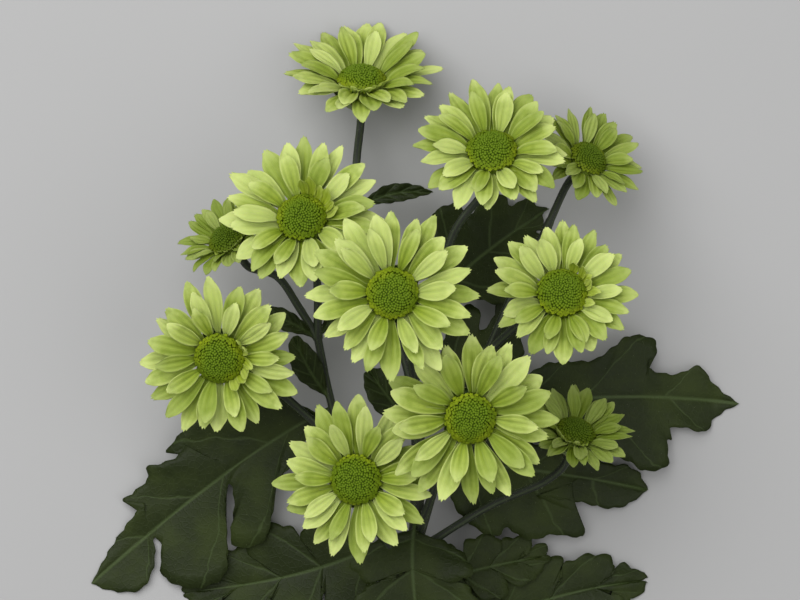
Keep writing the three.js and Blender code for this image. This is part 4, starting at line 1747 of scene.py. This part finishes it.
    def build(self, material: bpy.types.Material) -> bpy.types.Object:
        """Makes the piece.

        Args:
            material: Its finish.

        Returns:
            The piece.
        """
        draft = Draft()
        over: list[list[int]] = []
        under: list[list[int]] = []
        steps = range(-self.columns, self.columns + 1)
        across = [math.copysign(abs(j / self.columns) ** 1.5, j) for j in steps]
        rows = self.toothed(self.rows())
        for number, row in enumerate(rows):
            blade = smooth(0.7 * self.stalk, 1.15 * self.stalk, row.t)
            last = number == len(rows) - 1
            pair: tuple[list[int], list[int]] = ([], [])
            for s in (0.0,) if last else across:
                middle, beside = self.shape(row, s, row.left if s >= 0 else row.right)
                place, pitch = self.phase(row.t, s)
                hump = math.sin(math.pi * min(1.0, abs(s) * 1.02)) ** 0.6
                hump *= abs(math.sin(math.pi * place)) ** 0.8
                turn = 9.0 * math.pi * row.t + 2.0 * self.seed + 2.0 * s
                ruffle = self.ruffle * s * s * (1.0 + math.sin(turn))
                swell = blade * (self.quilt * hump + ruffle * smooth(1.0, 0.9, row.t))
                round_stalk = math.sqrt(max(0.0, 1.0 - min(1.0, beside / 1.3) ** 2))
                top = self.thickness / 2.0 + round_stalk * (0.75 * (1.0 - blade) - 0.12 * blade)
                keel = 0.85 * (1.0 - blade) + (0.75 - 0.5 * row.t) * blade
                low = self.thickness / 2.0 + round_stalk * keel
                base = max(middle.z + swell, low)
                detail = (place, beside, pitch)
                for z, flag, target in ((base + top, 1.0, pair[0]), (base - low, 0.0, pair[1])):
                    target.append(draft.add(Vector((middle.x, middle.y, z)), (row.t, s, flag), detail))
            over.append(pair[0][::-1])
            under.append(pair[1][::-1])
        draft.sheet(over, under)
        mesh = draft.mesh(self.name + "_blade")
        mesh.materials.append(material)
        return declare(stand(mesh), Slot.LEAF, self.name)


@dataclass
class Studio:
    """The pale floor, the soft lights and the camera, which looks straight down.

    Sizes in mm, but the floor's half side and level in metres.
    """

    middle: Vector = HEAD_AT
    focus: float = 70.0
    distance: float = 1300.0
    view_width: float = 300.0
    sensor: float = 36.0
    floor_colour: Colour = srgb(170, 170, 170)
    floor_half: float = 3.0
    floor_level: float = -0.0002
    sky: float = 0.4

    def floor(self) -> None:
        """Lays the floor."""
        mesh = bpy.data.meshes.new("floor")
        ways = ((-1.0, -1.0), (1.0, -1.0), (1.0, 1.0), (-1.0, 1.0))
        corners = [(x * self.floor_half, y * self.floor_half, self.floor_level) for x, y in ways]
        mesh.from_pydata(corners, [], [(0, 1, 2, 3)])
        mesh.materials.append(Shade("floor").finish(self.floor_colour, 0.9, 0.1))
        stand(mesh)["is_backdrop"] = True

    def light(self, name: str, at: Point, size: float, power: float) -> None:
        """Hangs a soft light that faces the head of the spray.

        Args:
            name: Its name.
            at: Its place, from the middle of the head, m.
            size: Its side, m.
            power: Its power, W.
        """
        lamp = bpy.data.lights.new(name, "AREA")
        lamp.shape = "SQUARE"
        lamp.size = size
        lamp.energy = power
        thing = bpy.data.objects.new(name, lamp)
        target = self.middle * MM
        thing.location = target + Vector(at)
        thing.rotation_euler = (-Vector(at)).to_track_quat("-Z", "Y").to_euler()
        bpy.context.scene.collection.objects.link(thing)

    def camera(self) -> None:
        """Sets the camera."""
        camera = bpy.data.cameras.new("camera")
        camera.sensor_width = self.sensor
        camera.lens = self.sensor * self.distance / self.view_width
        camera.clip_end = 10.0
        thing = bpy.data.objects.new("camera", camera)
        thing.location = (self.middle + UP * (self.focus + self.distance)) * MM
        bpy.context.scene.collection.objects.link(thing)
        bpy.context.scene.camera = thing

    def build(self) -> None:
        """Sets up the whole studio."""
        self.floor()
        self.light("key", at=(-0.5, 0.55, 1.25), size=1.5, power=22.5)
        self.light("fill", at=(0.9, -0.3, 1.4), size=1.4, power=6.0)
        world = bpy.data.worlds.new("studio")
        world.use_nodes = True
        sky = world.node_tree.nodes["Background"]
        sky.inputs["Color"].default_value = (1.0, 1.0, 1.0, 1.0)
        sky.inputs["Strength"].default_value = self.sky
        scene = bpy.context.scene
        scene.world = world
        scene.view_settings.view_transform = "Standard"
        self.camera()


# shade is painted shade for a bloom that lies in shadow
BLOOMS = (
    Bloom(1, (-15, 83.2, 18.8), lean=53, heading=88, radius=33, cup=18, bend=30, young_at=-85),
    Bloom(2, (35, 55, 52), lean=34, heading=92, radius=31.5, cup=8, bend=34),
    Bloom(3, (71.6, 53.2, 32), lean=45, heading=52, radius=24.9, cup=14, bend=32, shade=0.6),
    Bloom(4, (-36.6, 30, 62), lean=25, heading=105, radius=32.5, cup=4, bend=22, young_at=40),
    Bloom(5, (-65.2, 22.2, 40), lean=50, heading=126, radius=21, cup=23, bend=26, young_at=-70, shade=0.7),
    Bloom(6, (-2.8, 2.2, 94), lean=6, heading=90, radius=31.5, cup=-3, bend=0),
    Bloom(7, (60.6, 1.6, 66), lean=22, heading=78, radius=29.5, cup=6, bend=24, young_at=20),
    Bloom(8, (-67.8, -21.4, 60), lean=13, heading=250, radius=31, cup=-1, bend=8, young_at=-10),
    Bloom(9, (25.9, -43.4, 84), lean=9, heading=265, radius=33, cup=-2, bend=0),
    Bloom(10, (-16.1, -67.3, 66), lean=9, heading=190, radius=31, cup=-1, bend=0),
    Bloom(11, (66.6, -52.2, 44), lean=50, heading=74, radius=24.2, cup=20, bend=30, young_at=-110, shade=0.9),
)

LEAVES = (
    Leaf("leaf_01", ((-26, -42, 23), (-57, -55, 6), (-122, -112, -2.5)), width=60, fold=4, seed=31),
    Leaf("leaf_02", ((-7, -94, 16.5), (-32, -110, 3), (-81, -115, -1.5)), width=48, fold=4, seed=32),
    Leaf("leaf_03", ((6, -86, 19), (2, -104, 36), (11, -149, 14)), width=56, fold=6, seed=33),
    Leaf("leaf_04", ((22, -46, 21), (74, -33, 14), (134, -41, -3)), width=56, fold=4, seed=34),
    Leaf("leaf_05", ((6.8, -62, 20.5), (51, -65, 7), (98, -75, 0.5)), width=50, fold=4, seed=35),
    Leaf("leaf_06", ((14, 0, 27), (28, 17, 8), (59, 36, -2)), width=44, fold=4, seed=36),
    Leaf("leaf_07", ((7, -45, 22.8), (29, -16, 13), (55, -7, 6)), width=36, fold=4, seed=37),
    Leaf("leaf_08", ((8.4, -140, 12), (47, -116, 4), (95, -111, 0)), width=40, fold=4, seed=38),
    Leaf("leaf_09", ((5.6, -113, 14.4), (28, -105, 12), (56, -101, 5)), width=30, fold=4, seed=39),
    Leaf("leaf_10", ((7.5, -165, 9.6), (-30, -176, 8), (-62, -206, -1)), width=42, fold=5, seed=40),
    Leaf("leaf_11", ((8.4, -185, 8), (42, -204, 7), (68, -238, -1)), width=38, fold=5, seed=41),
    Leaf("bract_01", ((-16.9, 36, 15.5), (-4, 44, 18.5), (13, 42, 15)), width=9, fold=8, seed=42),
    Leaf("bract_02", ((-31.9, -15, 28), (-44, -6, 30), (-56, -5, 23)), width=10, fold=8, seed=43),
    Leaf("bract_03", ((-31.9, -14, 28), (-24, -4, 30), (-13, 2, 24)), width=9, fold=8, seed=44),
    Leaf("bract_04", ((-27.2, -38, 23.6), (-36, -28, 30), (-41, -14, 30)), width=14, fold=8, seed=45),
    Leaf("bract_05", ((6.8, -50, 22.5), (-4, -40, 30), (-12, -27, 28)), width=18, fold=6, seed=46),
)


@dataclass(frozen=True)
class Fur:
    """The short hairs of some pieces. Density is hairs in a square metre, sizes in mm."""

    name: str
    slot: Slot
    density: float
    length: float
    seed: int
    thickness: float = 0.045
    lean: float = 0.35

    def build(
        self, tree: Sprouts, pieces: Sequence[bpy.types.Object], material: bpy.types.Material
    ) -> bpy.types.Object:
        """Makes the hairs of the pieces as one piece.

        Args:
            tree: The tree that stands the hairs on a piece.
            pieces: The hairy pieces.
            material: The hairs' finish.

        Returns:
            The piece.
        """
        bases = [stand(piece.data.copy()) for piece in pieces]
        if len(bases) > 1:
            with bpy.context.temp_override(active_object=bases[0], selected_editable_objects=bases):
                bpy.ops.object.join()
        base = bases[0]
        values = {
            "Density": self.density,
            "Length": self.length * MM,
            "Thickness": self.thickness * MM,
            "Lean": self.lean,
            "Seed": self.seed,
            "Material": material,
        }
        mesh = tree.grow(base, self.name, values)
        for corner in mesh.vertices:
            corner.co.z = max(corner.co.z, 0.0)
        bpy.data.objects.remove(base)
        return declare(stand(mesh), self.slot)


def main() -> None:
    """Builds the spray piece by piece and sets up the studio."""
    logging.basicConfig(level=logging.INFO, format="%(name)s %(message)s")
    cad_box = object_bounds()
    petal, disc, calyx = PetalFinish().make(), DiscFinish().make(), CalyxFinish().make()
    stem_finish, leaf_finish, hair = StemFinish().make(), LeafFinish().make(), HairFinish().make()
    florets, hairs = floret_tree(), hair_tree()
    bud, floret = Disc.bud(), Disc.floret()
    cups = []
    for bloom in BLOOMS:
        Rays(bloom).build(petal)
        Disc(bloom).build(florets, bud, floret, disc)
        cups.append(Calyx(bloom).build(calyx))
    for helper in (bud, floret):
        bpy.data.objects.remove(helper)
    stem = Stem(BLOOMS).build(stem_finish)
    leaves = [leaf.build(leaf_finish) for leaf in LEAVES]
    Fur("stem_hairs", Slot.STEM, density=420000.0, length=0.7, seed=10).build(hairs, [stem], hair)
    Fur("calyx_hairs", Slot.CALYX, density=240000.0, length=0.55, seed=11).build(hairs, cups, hair)
    Fur("leaf_hairs", Slot.LEAF, density=70000.0, length=0.5, seed=10).build(hairs, leaves, hair)
    Studio().build()
    boxes = {"cad": cad_box, "visual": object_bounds()}
    {name: [list(corner) for corner in box] for name, box in boxes.items()}


if __name__ == "__main__":
    main()
